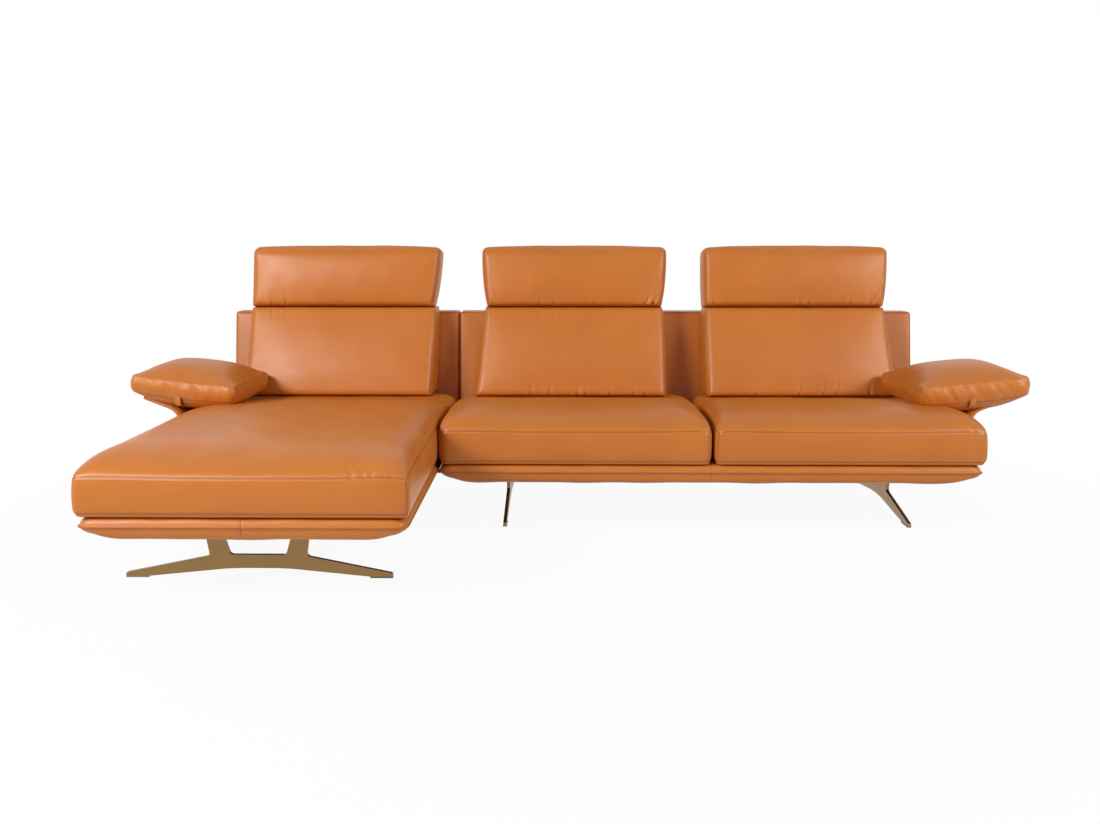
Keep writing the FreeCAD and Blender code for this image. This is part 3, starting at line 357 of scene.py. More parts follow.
def saddle_leather():
    """Semi-gloss tan hide: grain moves its tone and relief, painted shade darkens it along the seams and
    stitches stand on it.
    """
    made, tree, shader, place = plain_material("saddle_leather", 0.4)
    hide = add(tree, "ShaderNodeGroup", node_tree=leather_grain_group())
    tree.links.new(place, hide.inputs["Vector"])
    sewn = add(tree, "ShaderNodeGroup", node_tree=seam_group())
    for label, socket in (("seam", "Distance"), ("along", "Along")):
        source = add(tree, "ShaderNodeAttribute", attribute_name=label)
        tree.links.new(source.outputs["Fac"], sewn.inputs[socket])
    colour = mixed(tree, hide.outputs["Tone"], tan_deep, tan)
    # Painted shade: the seams' folds are darkened in the base colour.
    colour = mixed(tree, reckon(tree, "MULTIPLY", sewn.outputs["FoldShade"], 0.45), colour, seam_shade_colour)
    colour = mixed(tree, reckon(tree, "MULTIPLY", sewn.outputs["Stitch"], 0.6), colour, thread_tan)
    tree.links.new(colour, shader.inputs["Base Color"])
    rough = reckon(tree, "MULTIPLY_ADD", hide.outputs["Gloss"], 0.16, 0.33)
    tree.links.new(rough, shader.inputs["Roughness"])
    shader.inputs["Specular IOR Level"].default_value = 0.42
    grain = reckon(tree, "MULTIPLY_ADD", sewn.outputs["Stitch"], 1.2, hide.outputs["Height"])
    raise_bumps(tree, shader, grain, grain_depth, 0.4)
    return made


leather = saddle_leather()


def leather_piece(name, points, quads, **marks):
    """A smooth leather mesh; its marks are values for each point, such as how far it lies from a seam."""
    mesh = bpy.data.meshes.new(name)
    mesh.from_pydata(points.tolist(), [], quads.tolist())
    for label, values in marks.items():
        mesh.attributes.new(label, "FLOAT", "POINT").data.foreach_set("value", values.astype(np.float32))
    mesh.shade_smooth()
    mesh.materials.append(leather)
    piece = bpy.data.objects.new(name, mesh)
    scene.collection.objects.link(piece)
    return piece


def subdivide(piece, levels):
    """Smooths a piece by subdivision, alike on screen and in renders."""
    smooth = piece.modifiers.new("smooth", "SUBSURF")
    smooth.levels = levels
    smooth.render_levels = levels
    return piece


def ripple(place, length, phase):
    """Uneven waves: the mean of three sines whose lengths share no common measure."""
    turn = 2 * np.pi * place / length
    waves = np.sin(turn + phase) + np.sin(turn / 0.618 + 2.1 * phase) + np.sin(turn / 1.7 + 0.7 * phase)
    return waves / 3


def bell(place, middle, half):
    """A smooth hump: exp(-((place - middle) / half) ** 2)."""
    return np.exp(-((place - middle) / half) ** 2)


border_width = 0.095
border_tuck = 0.086
border_drop = 0.026
border_radius = 0.032
border_pitch = 0.016
border_rim = 0.024
border_lip = 0.0035
lip_out = 0.0005
lip_flat = 0.0012
lip_half = 0.0026
join_groove = 0.0022
join_half = 0.003
join_row = 0.004
rim_wander = 0.0016
hull_wander = 0.0022
hull_belly = 0.005
hull_taper = 0.10
hull_loss = 0.7
end_fullness = 1.5
front_fullness = 3.6


def border_profile(top, low):
    """Inset from the knife edge, and height at the ends and at the front and rear, once round the section:
    top, rounded rim, sewn lip, hull, bottom, inside. The hull is a superellipse of the given fullness n,
    ((tuck - inset) / tuck) ** n + (drop / rise) ** n = 1, and hangs in a low belly at the front and rear."""
    edge = top - border_drop
    inner = np.linspace(border_width, border_rim, 4)
    turn = np.linspace(0, np.pi / 2, 9)[1:]
    rim_inset = border_lip + (border_rim - border_lip) * (1 - np.sin(turn) ** 1.2)
    rim_z = edge + border_lip + (border_drop - border_lip) * np.cos(turn) ** 1.2
    lip_inset = np.array([0.0, -lip_out, -lip_out, 0.0, border_lip])
    lip_z = edge + np.array([lip_half, lip_flat, -lip_flat, -lip_half, -border_lip])
    share = np.linspace(0, 1, 15)[1:] ** 1.7
    rise = edge - border_lip - low
    hull_inset = border_lip + (border_tuck - border_lip) * share
    drops = [(1 - (1 - share) ** n) ** (1 / n) for n in (end_fullness, front_fullness)]
    end_z, front_z = [low + rise * (1 - drop) for drop in drops]
    front_z = front_z - hull_belly * np.sin(np.pi * share ** 0.6)
    inset = np.concatenate([inner, rim_inset, lip_inset, hull_inset, [border_width, border_width]])
    heights = []
    for hull_z in (end_z, front_z):
        heights.append(np.concatenate([np.full(4, top), rim_z, lip_z, hull_z, [low, (low + top) / 2]]))
    return inset, *heights


def ring_stations(half_x, half_y):
    """Stations once round a rectangle: the corner centre's share along X and Y, and the outward direction.
    Each side runs straight and ends in a quarter turn; its middle has close rows for a seam."""
    share_x, share_y, out_x, out_y = [], [], [], []
    for side in range(4):
        facing = (side - 1) * np.pi / 2
        reach = half_x if side % 2 == 0 else half_y
        count = int(round(2 * (reach - border_radius) / border_pitch))
        close = np.linspace(-2, 2, 5) * join_row / reach
        run = np.linspace(-1, 1, count + 1)
        run = np.sort(np.concatenate([run[np.abs(run) > 3 * join_row / reach], close]))
        turn = np.linspace(0, np.pi / 2, 9)[1:-1]
        along = np.concatenate([run, np.ones(len(turn))])
        angle = facing + np.concatenate([np.zeros(len(run)), turn])
        share_x.append(-np.sin(facing) * along + np.cos(facing))
        share_y.append(np.cos(facing) * along + np.sin(facing))
        out_x.append(np.cos(angle))
        out_y.append(np.sin(angle))
    return [np.concatenate(part) for part in (share_x, share_y, out_x, out_y)]


def base_border(node, phase):
    """The profile carried round the rectangle; the soft rim and hull rise and fall a little on the way.
    The hull is full along the front and rear and loses most of that fullness toward their ends."""
    low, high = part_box(node)
    inset, end_z, front_z = border_profile(high.z, low.z)
    half_x = (high.x - low.x) / 2
    half_y = (high.y - low.y) / 2
    share_x, share_y, out_x, out_y = [part[:, None] for part in ring_stations(half_x, half_y)]
    near_end = np.clip((np.abs(share_x) - 1) * half_x / hull_taper + 1, 0, 1)
    z = end_z + (front_z - end_z) * out_y ** 2 * (1 - hull_loss * near_end ** 3)
    join = np.minimum(np.abs(share_x) * half_x + np.abs(np.abs(share_y) - 1), 1.0)
    inset = inset[None, :] + join_groove * bell(join, 0, join_half)
    x = (low.x + high.x) / 2 + share_x * (half_x - inset - border_radius) + out_x * border_radius
    y = (low.y + high.y) / 2 + share_y * (half_y - inset - border_radius) + out_y * border_radius
    rim = bell(inset, border_rim / 2, 0.010) * (z > high.z - border_drop)
    hull = bell(inset, 0.03, 0.02) * (z < high.z - border_drop)
    lift = rim_wander * ripple(x + y, 0.23, phase) * rim
    lift = lift + hull_wander * ripple(x - y, 0.31, phase + 1) * hull
    points = np.stack([x, y, z + lift], -1)
    around, across = x.shape
    index = np.arange(around * across).reshape(around, across)
    ahead = np.roll(index, -1, 0)
    quads = np.stack([index, ahead, np.roll(ahead, -1, 1), np.roll(index, -1, 1)], -1).reshape(-1, 4)
    lip_gap = np.abs(z - (high.z - border_drop)) + np.clip(inset - border_lip, 0, 1)
    seam = np.minimum(np.clip(lip_gap - lip_flat, 0, 1), np.broadcast_to(join, x.shape))
    along = np.broadcast_to(share_x * half_x + share_y * half_y, x.shape)
    piece = leather_piece(node.replace("border", "padding"), points.reshape(-1, 3), quads[:, ::-1],
                          seam=seam.ravel(), along=along.ravel())
    subdivide(piece, 1)
    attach(piece, "frame")
    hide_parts(node)


base_border("chaise_base_border", 0.4)
base_border("sofa_base_border", 1.9)


# Seat cushions: boxed leather covers over foam and fibre, crowned, drawn in along their sides.
# A sewn seam runs round the top and the bottom of the boxing and up each corner.
# They lie loose on the deck, with their rear under the back cushions.
hair = 1e-6
edge_rows = (0.0, 0.0032, 0.0075, 0.014, 0.023)
edge_band = 0.035
least_step = 0.0018


def spaced(length, pitch):
    """Places from 0 to length: close together beside both ends, else at the pitch."""
    near = np.array(edge_rows)
    count = max(2, int(round((length - 2 * edge_band) / pitch)))
    middle = np.linspace(edge_band, length - edge_band, count + 1)
    places = np.sort(np.concatenate([near, middle, length - near]))
    return places[np.diff(places, prepend=-1.0) > least_step]


def block_skin(us, vs, ws):
    """A block's outside, cut at the given places: where each point lies in it, and quads that face out."""
    shape = (len(us), len(vs), len(ws))
    outside = np.zeros(shape, bool)
    outside[[0, -1]] = True
    outside[:, [0, -1]] = True
    outside[:, :, [0, -1]] = True
    index = np.zeros(shape, int)
    index[outside] = np.arange(outside.sum())
    i, j, k = np.nonzero(outside)
    walls = [(index[:, :, -1], 1), (index[:, :, 0], -1), (index[:, 0, :], 1), (index[:, -1, :], -1),
             (index[-1, :, :], 1), (index[0, :, :], -1)]
    quads = []
    for wall, order in walls:
        corners = np.stack([wall[:-1, :-1], wall[1:, :-1], wall[1:, 1:], wall[:-1, 1:]], -1).reshape(-1, 4)
        quads.append(corners[:, ::order])
    return us[i], vs[j], ws[k], np.concatenate(quads)


def cut_block(sizes, pitches):
    """The skin of a block of the given sizes, cut at the given pitches and more closely beside its edges."""
    return block_skin(*[spaced(size, pitch) for size, pitch in zip(sizes, pitches)])


def seam_places(u, v, w, width, depth, height):
    """Distance from the nearest edge of the block, and the place along that edge.
    On a wall one distance is 0 and the next least is to an edge; that edge runs the third way."""
    gaps = np.stack([np.minimum(u, width - u), np.minimum(v, depth - v), np.minimum(w, height - w)])
    along = np.take_along_axis(np.stack([u, v, w]), gaps.argmax(0)[None], 0)[0]
    return np.sort(gaps, 0)[1], along


def round_corners(p, q, long_p, long_q, radii):
    """Rounds a rectangle's corners: each corner's square is mapped onto a quarter disc.
    The radii are for low p and low q, high p and low q, low p and high q, high p and high q."""
    low_p = p < long_p / 2
    low_q = q < long_q / 2
    radius = np.where(low_q, np.where(low_p, radii[0], radii[1]), np.where(low_p, radii[2], radii[3]))
    gap_p = np.where(low_p, p, long_p - p)
    gap_q = np.where(low_q, q, long_q - q)
    s = np.clip(1 - gap_p / radius, 0, 1)
    t = np.clip(1 - gap_q / radius, 0, 1)
    gap_p = gap_p + radius * s * (1 - np.sqrt(1 - t * t / 2))
    gap_q = gap_q + radius * t * (1 - np.sqrt(1 - s * s / 2))
    return np.where(low_p, gap_p, long_p - gap_p), np.where(low_q, gap_q, long_q - gap_q)


def shoulder(distance, reach, power, steep=1.0):
    """Rises from 0 at a seam to 1 at the reach: (1 - (1 - distance / reach) ** power) ** steep."""
    return (1 - (1 - np.clip(distance / reach, 0, 1)) ** power) ** steep


def fade(distance, length):
    """1 at a seam, dying away as exp(-distance / length)."""
    return np.exp(-distance / length)


def loose(distance):
    """Where leather lies loose beside a seam: 0 on the seam, most close by, dying away further in."""
    return fade(distance, 0.03) * shoulder(distance, 0.01, 2.0)


cloth_frames = 20
ease_share = 0.6


def puff(piece, held, pressure, most, slack, ease):
    """Lets the cover swell on its filling: cloth under pressure, held where told, for some frames.
    No point moves further than the most; slack is the share of spare leather, which puckers at the seams,
    and ease is how often each point's move is evened out with its neighbours' moves."""
    trial = bpy.data.objects.new("trial_cover", piece.data.copy())
    scene.collection.objects.link(trial)
    pins = trial.vertex_groups.new(name="held")
    pins.add(np.nonzero(held)[0].tolist(), 1.0, "REPLACE")
    cover = trial.modifiers.new("cover", "CLOTH")
    cover.settings.quality = 4
    cover.settings.mass = 0.3
    cover.settings.tension_stiffness = 12.0
    cover.settings.compression_stiffness = 12.0
    cover.settings.shear_stiffness = 6.0
    cover.settings.bending_stiffness = 4.0
    cover.settings.air_damping = 2.0
    cover.settings.vertex_group_mass = "held"
    cover.settings.use_pressure = True
    cover.settings.uniform_pressure_force = pressure
    cover.settings.shrink_min = -slack
    cover.settings.effector_weights.gravity = 0.0
    cover.point_cache.frame_start = 1
    cover.point_cache.frame_end = cloth_frames
    for step in range(1, cloth_frames + 1):
        scene.frame_set(step)
    swollen = trial.evaluated_get(bpy.context.evaluated_depsgraph_get()).data
    count = len(piece.data.vertices)
    before = np.empty(count * 3)
    after = np.empty(count * 3)
    piece.data.vertices.foreach_get("co", before)
    swollen.vertices.foreach_get("co", after)
    move = (after - before).reshape(-1, 3)
    far = np.linalg.norm(move, axis=1, keepdims=True)
    move = move * np.minimum(1, np.reshape(most, (-1, 1)) / np.maximum(far, hair))
    edges = np.empty(len(piece.data.edges) * 2, int)
    piece.data.edges.foreach_get("vertices", edges)
    starts, ends = edges.reshape(-1, 2).T
    degree = np.bincount(edges, minlength=count)[:, None]
    for turn in range(ease):
        spread = np.zeros_like(move)
        np.add.at(spread, starts, move[ends])
        np.add.at(spread, ends, move[starts])
        move = np.where(held[:, None], move, (1 - ease_share) * move + ease_share * spread / degree)
    piece.data.vertices.foreach_set("co", (before.reshape(-1, 3) + move).ravel())
    piece.data.update()
    scene.frame_set(1)
    bpy.data.objects.remove(trial)


tuck_valley = 0.0055
tuck_ridge = 0.017


def gathers(place, away, tucks, reach, slant):
    """Tucks sewn in along a line: each a narrow valley between two soft ridges that die away from it."""
    shift = place[:, None] - np.asarray(tucks)[None, :] - slant * away[:, None]
    valley = bell(shift, 0, tuck_valley) - 0.5 * bell(shift, 0, tuck_ridge)
    return valley.sum(1) * np.exp(-(away / reach) ** 1.3)


def settle(piece):
    """Makes a piece's modifiers part of its mesh."""
    shown = piece.evaluated_get(bpy.context.evaluated_depsgraph_get())
    piece.data = bpy.data.meshes.new_from_object(shown)
    piece.modifiers.clear()


def sew_tucks(piece, axis, depth, *rows):
    """Moves the marked face along an axis at tucks; a row has its places, level, reach and slant."""
    mesh = piece.data
    count = len(mesh.vertices)
    marks = {}
    for label in ("across", "up", "front"):
        marks[label] = np.empty(count, np.float32)
        mesh.attributes[label].data.foreach_get("value", marks[label])
    points = np.empty(count * 3)
    mesh.vertices.foreach_get("co", points)
    points = points.reshape(-1, 3)
    for tucks, level, reach, slant in rows:
        away = np.abs(marks["up"] - level)
        points[:, axis] += depth * marks["front"] * gathers(marks["across"], away, tucks, reach, slant)
    mesh.vertices.foreach_set("co", points.ravel())
    mesh.update()


seat_roll = 0.014
seat_boxing = 0.116
seat_corners = {
    "chaise": (0.018, 0.018, 0.060, 0.130),
    "sofa_left": (0.036, 0.030, 0.190, 0.150),
    "sofa_right": (0.030, 0.022, 0.120, 0.060),
}
seat_pull = 0.006
seat_trim = {"chaise": (0.0, 0.005), "sofa_left": (0.0, 0.006), "sofa_right": (0.012, 0.002)}
seat_foot = {"chaise": (0.007, 0.0), "sofa_left": (0.0, 0.0), "sofa_right": (0.0, 0.007)}
seat_bulge = 0.003
seam_sink = 0.0022
seat_swell = 0.007
seat_flat = 0.38
seat_mesh = (0.0135, 0.0135, 0.0135)
seat_side = (0.095, 2.5, 0.42)
seat_nose = (0.15, 2.6, 0.65)
seat_rear = (0.05, 2.0)
seat_hidden = 0.19
seat_hold = 0.03
seat_crest = 0.6
seat_core = 0.03
seat_dents = 0.004
seat_sag = 0.005
nose_wave = 0.0013
side_wave = 0.0010
boxing_wave = 0.0012
boxing_give = 0.003
crown_give = 0.010
pucker_depth = 0.006
pucker_reach = 0.045
pucker_slant = -0.7
ear_droop = 0.006
ear_reach = 0.025


def seat_cushion(seat, phase, puckers):
    """A block whose top is crowned, whose boxing swells and whose lower edge rolls under.
    The crown is the product of shoulders from the sides, the front and the rear, and half a cosine wave
    lowers it toward the back cushion. Free ends flare toward the foot, and the front corners turn down."""
    node = seat + "_seat_cushion"
    low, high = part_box(node)
    left, right = seat_trim[seat]
    start = low.x + left
    width, depth = high.x + right - start, high.y - low.y
    height = seat_boxing - seat_roll
    crown = high.z - low.z - seat_boxing - seat_swell
    u, v, w, quads = cut_block((width, depth, height), seat_mesh)
    seam, along = seam_places(u, v, w, width, depth, height)
    top = w > height - hair
    bottom = w < hair
    side_gap = np.minimum(u, width - u)
    wall_gap = np.minimum(side_gap, np.minimum(v, depth - v))
    on_side = wall_gap < hair
    flat_from = depth - seat_hidden
    stage = np.clip((v - seat_crest * flat_from) / ((1 - seat_crest) * flat_from), 0, 1)
    fall = seat_flat + (1 - seat_flat) * (0.5 + 0.5 * np.cos(np.pi * stage))
    full = shoulder(side_gap, *seat_side) * shoulder(v, *seat_nose) * shoulder(depth - v, *seat_rear)
    rise = crown * full * fall
    dents = ripple(u + 0.3 * v, 0.31, phase) * ripple(v - 0.2 * u, 0.37, phase + 1)
    rise = rise + seat_dents * dents * full
    rise = rise + nose_wave * ripple(u, 0.061, phase) * loose(v)
    rise = rise + side_wave * ripple(v, 0.073, phase) * loose(side_gap)
    x, y = round_corners(u, v, width, depth, seat_corners[seat])
    out_x = x - np.clip(x, seat_core, width - seat_core)
    out_y = y - np.clip(y, seat_core, depth - seat_core)
    out_length = np.maximum(np.hypot(out_x, out_y), hair)
    bulge = seat_bulge * (1 - np.abs(2 * w / height - 1) ** 2.4)
    bulge = bulge + boxing_wave * ripple(u + v, 0.29, phase + 2) * np.sin(np.pi * w / height)
    bulge = np.where(seam < hair, bulge - seam_sink, bulge) * on_side
    drawn_in = seat_pull * np.sin(np.pi * v / depth)
    left, right = seat_foot[seat]
    flare = np.where(u < width / 2, left, right) * on_side * (1 - w / height)
    x = x + (bulge + flare) * out_x / out_length + drawn_in * (1 - 2 * x / width)
    y = y + bulge * out_y / out_length
    roll_gap = np.clip(wall_gap, 0, seat_roll)
    rolled = seat_roll - np.sqrt(seat_roll ** 2 - (seat_roll - roll_gap) ** 2)
    z = np.where(bottom, rolled, seat_roll + w + np.where(top, rise, 0.0))
    z = z - seat_sag * np.sin(np.pi * u / width) * fade(v, 0.12) * w / height
    z = z - ear_droop * fade(np.hypot(side_gap, v), ear_reach) * w / height
    points = np.stack([start + x, low.y + y, low.z + z], 1)
    piece = leather_piece(seat + "_seat_cover", points, quads, seam=seam, along=along,
                          across=u, up=v, front=top)
    held = bottom | (seam < hair) | (top & (v > flat_from - seat_hold))
    puff(piece, held, pressure=0.4, most=np.where(on_side, boxing_give, crown_give), slack=0.0, ease=12)
    settle(subdivide(piece, 1))
    sew_tucks(piece, 2, -pucker_depth, (width - np.array(puckers), 0.0, pucker_reach, pucker_slant))
    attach(piece, "frame")
    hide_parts(node)


seat_cushion("chaise", 0.7, (0.152, 0.118, 0.098, 0.060, 0.042))
seat_cushion("sofa_left", 2.3, (0.030,))
seat_cushion("sofa_right", 4.1, (0.050,))


# Back panels: low leaning wedges of leather over wadding, pulled over the wooden frames and closed below.
# Seams run along every edge; the panels stand on the bases and are screwed down through the frames.
panel_lean = math.tan(math.radians(12))
panel_foot = 0.151
panel_top = 0.088
panel_mesh = (0.022, 0.02, 0.022)
panel_radii = (0.012, 0.012, 0.014, 0.014), (0.006, 0.006, 0.012, 0.012), (0.006, 0.006, 0.014, 0.020)
panel_padding = 0.004
panel_rear_share = 0.6


def round_block(u, v, w, sizes, radii):
    """Rounds a block's edges in three views, each with four radii: from above, the front and the end."""
    width, depth, height = sizes
    x, y = round_corners(u, v, width, depth, radii[0])
    x, z = round_corners(x, w, width, height, radii[1])
    return x, *round_corners(y, z, depth, height, radii[2])


def sheared(share_y, share_z, front_low, rear_low, front_top, rear_top, low, top):
    """A four-sided profile: height runs from low to top, and depth from its front line to its rear line."""
    front = front_low + (front_top - front_low) * share_z
    rear = rear_low + (rear_top - rear_low) * share_z
    return front + (rear - front) * share_y, low + (top - low) * share_z


def back_panel(node, phase):
    """A block with rounded edges in all three views, sheared to the wedge's profile and softly padded."""
    low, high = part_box(node)
    width, height = high.x - low.x, high.z - low.z
    sizes = (width, panel_foot, height)
    u, v, w, quads = cut_block(sizes, panel_mesh)
    seam, along = seam_places(u, v, w, *sizes)
    in_front = v < hair
    behind = v > panel_foot - hair
    face_gap = np.minimum(np.minimum(u, width - u), np.minimum(w, height - w))
    padding = panel_padding * shoulder(face_gap, 0.08, 2.2) * (1 + 0.4 * ripple(u, 0.4, phase))
    x, across, up = round_block(u, v, w, sizes, panel_radii)
    front_top = low.y + height * panel_lean
    y, z = sheared(across / panel_foot, up / height, low.y, low.y + panel_foot,
                   front_top, front_top + panel_top, low.z, high.z)
    y = y - np.where(in_front, padding, 0) + np.where(behind, padding * panel_rear_share, 0)
    points = np.stack([low.x + x, y, z], 1)
    piece = leather_piece(node.replace("panel", "padding"), points, quads, seam=seam, along=along)
    subdivide(piece, 1)
    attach(piece, "frame")
    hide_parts(node)


back_panel("chaise_back_panel", 0.2)
back_panel("sofa_back_panel", 1.3)


# Back cushions: leather covers over foam wedges on plywood boards, hung on the panels.
# A seam joins the front to a gusset at each side.
# The foot and the crease above are gathered in small tucks.
crease_tucks = {
    "chaise": (0.115, 0.19),
    "sofa_left": (0.035, 0.30, 0.385, 0.61, 0.89, 0.945),
    "sofa_right": (0.05, 0.52, 0.57, 0.80, 0.91),
}
foot_tucks = {
    "chaise": (),
    "sofa_left": (0.283, 0.374, 0.515, 0.56, 0.687, 0.813, 0.874),
    "sofa_right": (0.26, 0.49, 0.615, 0.68, 0.85),
}
back_flare = {"chaise": (0.016, -0.010), "sofa_left": (0.026, -0.004), "sofa_right": (-0.004, 0.014)}
back_spread = {"chaise": (0.012, 0.002), "sofa_left": (-0.006, -0.009), "sofa_right": (-0.002, -0.010)}
back_nominal = 0.150
back_mesh = (0.0115, 0.016, 0.0115)
back_radii = (0.026, 0.026, 0.012, 0.012), (0.010, 0.010, 0.006, 0.006), (0.026, 0.010, 0.018, 0.006)
back_clear = 0.004
back_neck = 0.064
back_fullness = 0.014
back_wave = 0.0016
back_gusset = 0.004
back_give = 0.016
crease_pinch = 0.005
end_bevel = 0.005
tuck_depth = 0.012
foot_tuck = (0.030, 0.10)
crease_tuck = (0.016, 0.12)


def gusset_places(u, v, w, width, depth, height):
    """Distance from the two seams that join the end gussets to the cover between them, and the place along.
    The cover goes over the front, the top and the rear in one piece, so no other edge is sewn."""
    side_gap = np.minimum(u, width - u)
    rim_gap = np.minimum(np.minimum(v, depth - v), height - w)
    return np.where(side_gap < hair, rim_gap, side_gap), w + v


def hinge_of(seat):
    """The place of a seat's headrest hinge."""
    joint = next(item for item in frame["joints"] if item["name"] == seat + "_headrest_tilt")
    return Vector(joint["pos_m"])


def outward(side, left, right):
    """A shift along X that grows from the middle to both ends: left at one end and right at the other."""
    return right * np.clip(-side, 0, 1) - left * np.clip(side, 0, 1)


def swollen_ends(u, width, swell):
    """Moves the two end walls of a block outward by the swell, and no other point."""
    return np.where(u > width - hair, swell, 0) - np.where(u < hair, swell, 0)


def back_cushion(seat, phase):
    """A block rounded in all three views and sheared to the wedge's profile.
    The front swells most below its middle, the foot flares, and tucks pull in its lower and upper edges."""
    node = seat + "_back_cushion"
    low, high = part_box(node)
    hinge = hinge_of(seat)
    width, height = high.x - low.x, high.z - low.z
    upper = np.array(crease_tucks[seat]) * width
    lower = np.array(foot_tucks[seat]) * width
    sizes = (width, back_nominal, height)
    u, v, w, quads = cut_block(sizes, back_mesh)
    seam, along = gusset_places(u, v, w, *sizes)
    in_front = v < hair
    behind = v > back_nominal - hair
    side_gap = np.minimum(u, width - u)
    x, across, up = round_block(u, v, w, sizes, back_radii)
    share = up / height
    rear_low = high.y - height * panel_lean
    y, z = sheared(across / back_nominal, share, low.y + back_clear, rear_low,
                   hinge.y - back_neck, high.y, low.z, high.z)
    arch = np.sin(np.pi * np.clip(share, 0, 1) ** 0.85) ** 0.7
    fullness = back_fullness * shoulder(side_gap, 0.26, 2.0) * arch
    fullness = fullness + back_wave * ripple(u + 0.4 * w, 0.21, phase) * np.sin(np.pi * share)
    y = y - np.where(in_front, fullness, 0)
    side = 1 - 2 * u / width
    x = x + end_bevel * (1 - v / back_nominal) * side ** 9
    x = x + crease_pinch * fade(height - w, 0.05) * side ** 3
    x = x + outward(side, *back_flare[seat]) * (1 - share) ** 1.4
    x = x + outward(side, *back_spread[seat]) * share
    gusset = back_gusset * np.sin(np.pi * share) * np.sin(np.pi * across / back_nominal)
    x = x + swollen_ends(u, width, gusset)
    points = np.stack([low.x + x, y, z], 1)
    piece = leather_piece(seat + "_back_cover", points, quads, seam=seam, along=along,
                          across=u, up=w, front=in_front)
    held = behind | (seam < hair) | (w < hair) | (w > height - hair)
    puff(piece, held, pressure=0.5, most=back_give, slack=0.0, ease=4)
    settle(subdivide(piece, 1))
    sew_tucks(piece, 1, tuck_depth, (lower, 0.0, *foot_tuck), (upper, height, *crease_tuck))
    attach(piece, "frame")
    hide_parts(node)


for order, seat in enumerate(crease_tucks):
    back_cushion(seat, 0.9 + 1.7 * order)


# Headrests: the same leather over a foam pillow on a board, on ratchet hinges above the back cushions.
# The cover goes on down into the crease, so its lower edge stays there when the pillow tilts.
headrest_lean = math.radians(9)
headrest_front = 0.061
headrest_rear = 0.048
headrest_low = 0.051
headrest_rise = 0.186
headrest_mesh = (0.0115, 0.013, 0.0115)
headrest_radii = (0.024, 0.024, 0.022, 0.022), (0.006, 0.006, 0.024, 0.024), (0.022, 0.046, 0.042, 0.042)
headrest_spread = {"chaise": (0.002, 0.020), "sofa_left": (0.005, 0.003), "sofa_right": (0.001, 0.0)}
headrest_pinch = {"chaise": (-0.008, 0.014), "sofa_left": (0.018, 0.018), "sofa_right": (0.003, 0.018)}
headrest_fullness = 0.014
headrest_wave = 0.0015
headrest_back = 0.004
headrest_thin = 0.008
headrest_crown = 0.007
crown_wave = 0.001
headrest_gusset = 0.003
headrest_give = 0.014
headrest_hold = 0.004
lower_tuck = (0.024, -0.12)
end_wrinkle = (0.060, 0.35)
end_wrinkles = {"chaise": (), "sofa_left": (0.90, 0.945), "sofa_right": (0.92,)}


def headrest(seat, phase):
    """A block drawn about the hinge, rounded at its top, its ends and its lower rear, then leaned back.
    The front and the top swell toward the middle, and tucks pull in its lower edge."""
    node = seat + "_headrest"
    low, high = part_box(node)
    hinge = hinge_of(seat)
    width = high.x - low.x
    thick = headrest_front + headrest_rear
    height = headrest_low + headrest_rise
    tucks = np.array(crease_tucks[seat]) * width
    sizes = (width, thick, height)
    u, v, w, quads = cut_block(sizes, headrest_mesh)
    seam, along = gusset_places(u, v, w, *sizes)
    in_front = v < hair
    behind = v > thick - hair
    on_top = w > height - hair
    side_gap = np.minimum(u, width - u)
    x, across, up = round_block(u, v, w, sizes, headrest_radii)
    share = np.clip(up / height, 0, 1)
    swell = shoulder(side_gap, 0.24, 2.0)
    fullness = headrest_fullness * swell * np.sin(np.pi * share ** 0.9) ** 0.6
    fullness = fullness + headrest_wave * ripple(u - 0.5 * w, 0.19, phase) * np.sin(np.pi * share)
    back_swell = headrest_back * swell * np.sin(np.pi * share)
    p = across - headrest_front - np.where(in_front, fullness, 0) + np.where(behind, back_swell, 0)
    p = p + headrest_thin * share * (1 - across / thick)
    crown = headrest_crown * swell + crown_wave * ripple(u, 0.26, phase)
    q = up - headrest_low + np.where(on_top, crown, 0)
    side = 1 - 2 * u / width
    x = x - outward(side, *headrest_pinch[seat]) * fade(w, 0.09)
    x = x + outward(side, *headrest_spread[seat]) * share
    x = x + end_bevel * (1 - v / thick) * side ** 9
    gusset = headrest_gusset * np.sin(np.pi * share) * np.sin(np.pi * across / thick)
    x = x + swollen_ends(u, width, gusset)
    y = hinge.y + p * math.cos(headrest_lean) + q * math.sin(headrest_lean)
    z = hinge.z - p * math.sin(headrest_lean) + q * math.cos(headrest_lean)
    points = np.stack([low.x + x, y, z], 1)
    piece = leather_piece(seat + "_headrest_cover", points, quads, seam=seam, along=along,
                          across=u, up=w, front=in_front)
    held = behind | (seam < hair) | (w < headrest_hold)
    puff(piece, held, pressure=0.5, most=headrest_give, slack=0.0, ease=4)
    settle(subdivide(piece, 1))
    drawn = np.array(end_wrinkles[seat]) * width
    sew_tucks(piece, 1, tuck_depth, (tucks, 0.0, *lower_tuck), (drawn, 0.0, *end_wrinkle))
    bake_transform(piece)
    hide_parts(node)


for order, seat in enumerate(crease_tucks):
    headrest(seat, 0.3 + 2.2 * order)


# Arm wings: thin padded leaves of leather on steel brackets, which rise beside the seats and flare outward.
# Two layers are sewn together round the edge, so the leaf thins to a flat lip there.
wing_thick = 0.026
wing_lip = 0.009
wing_bend = 0.063
wing_turn = math.radians(70)
wing_bend_foot = 0.361
wing_wave = 0.0014
wing_lift = 0.004
wing_reach = {"chaise": 0.090, "sofa": 0.108}


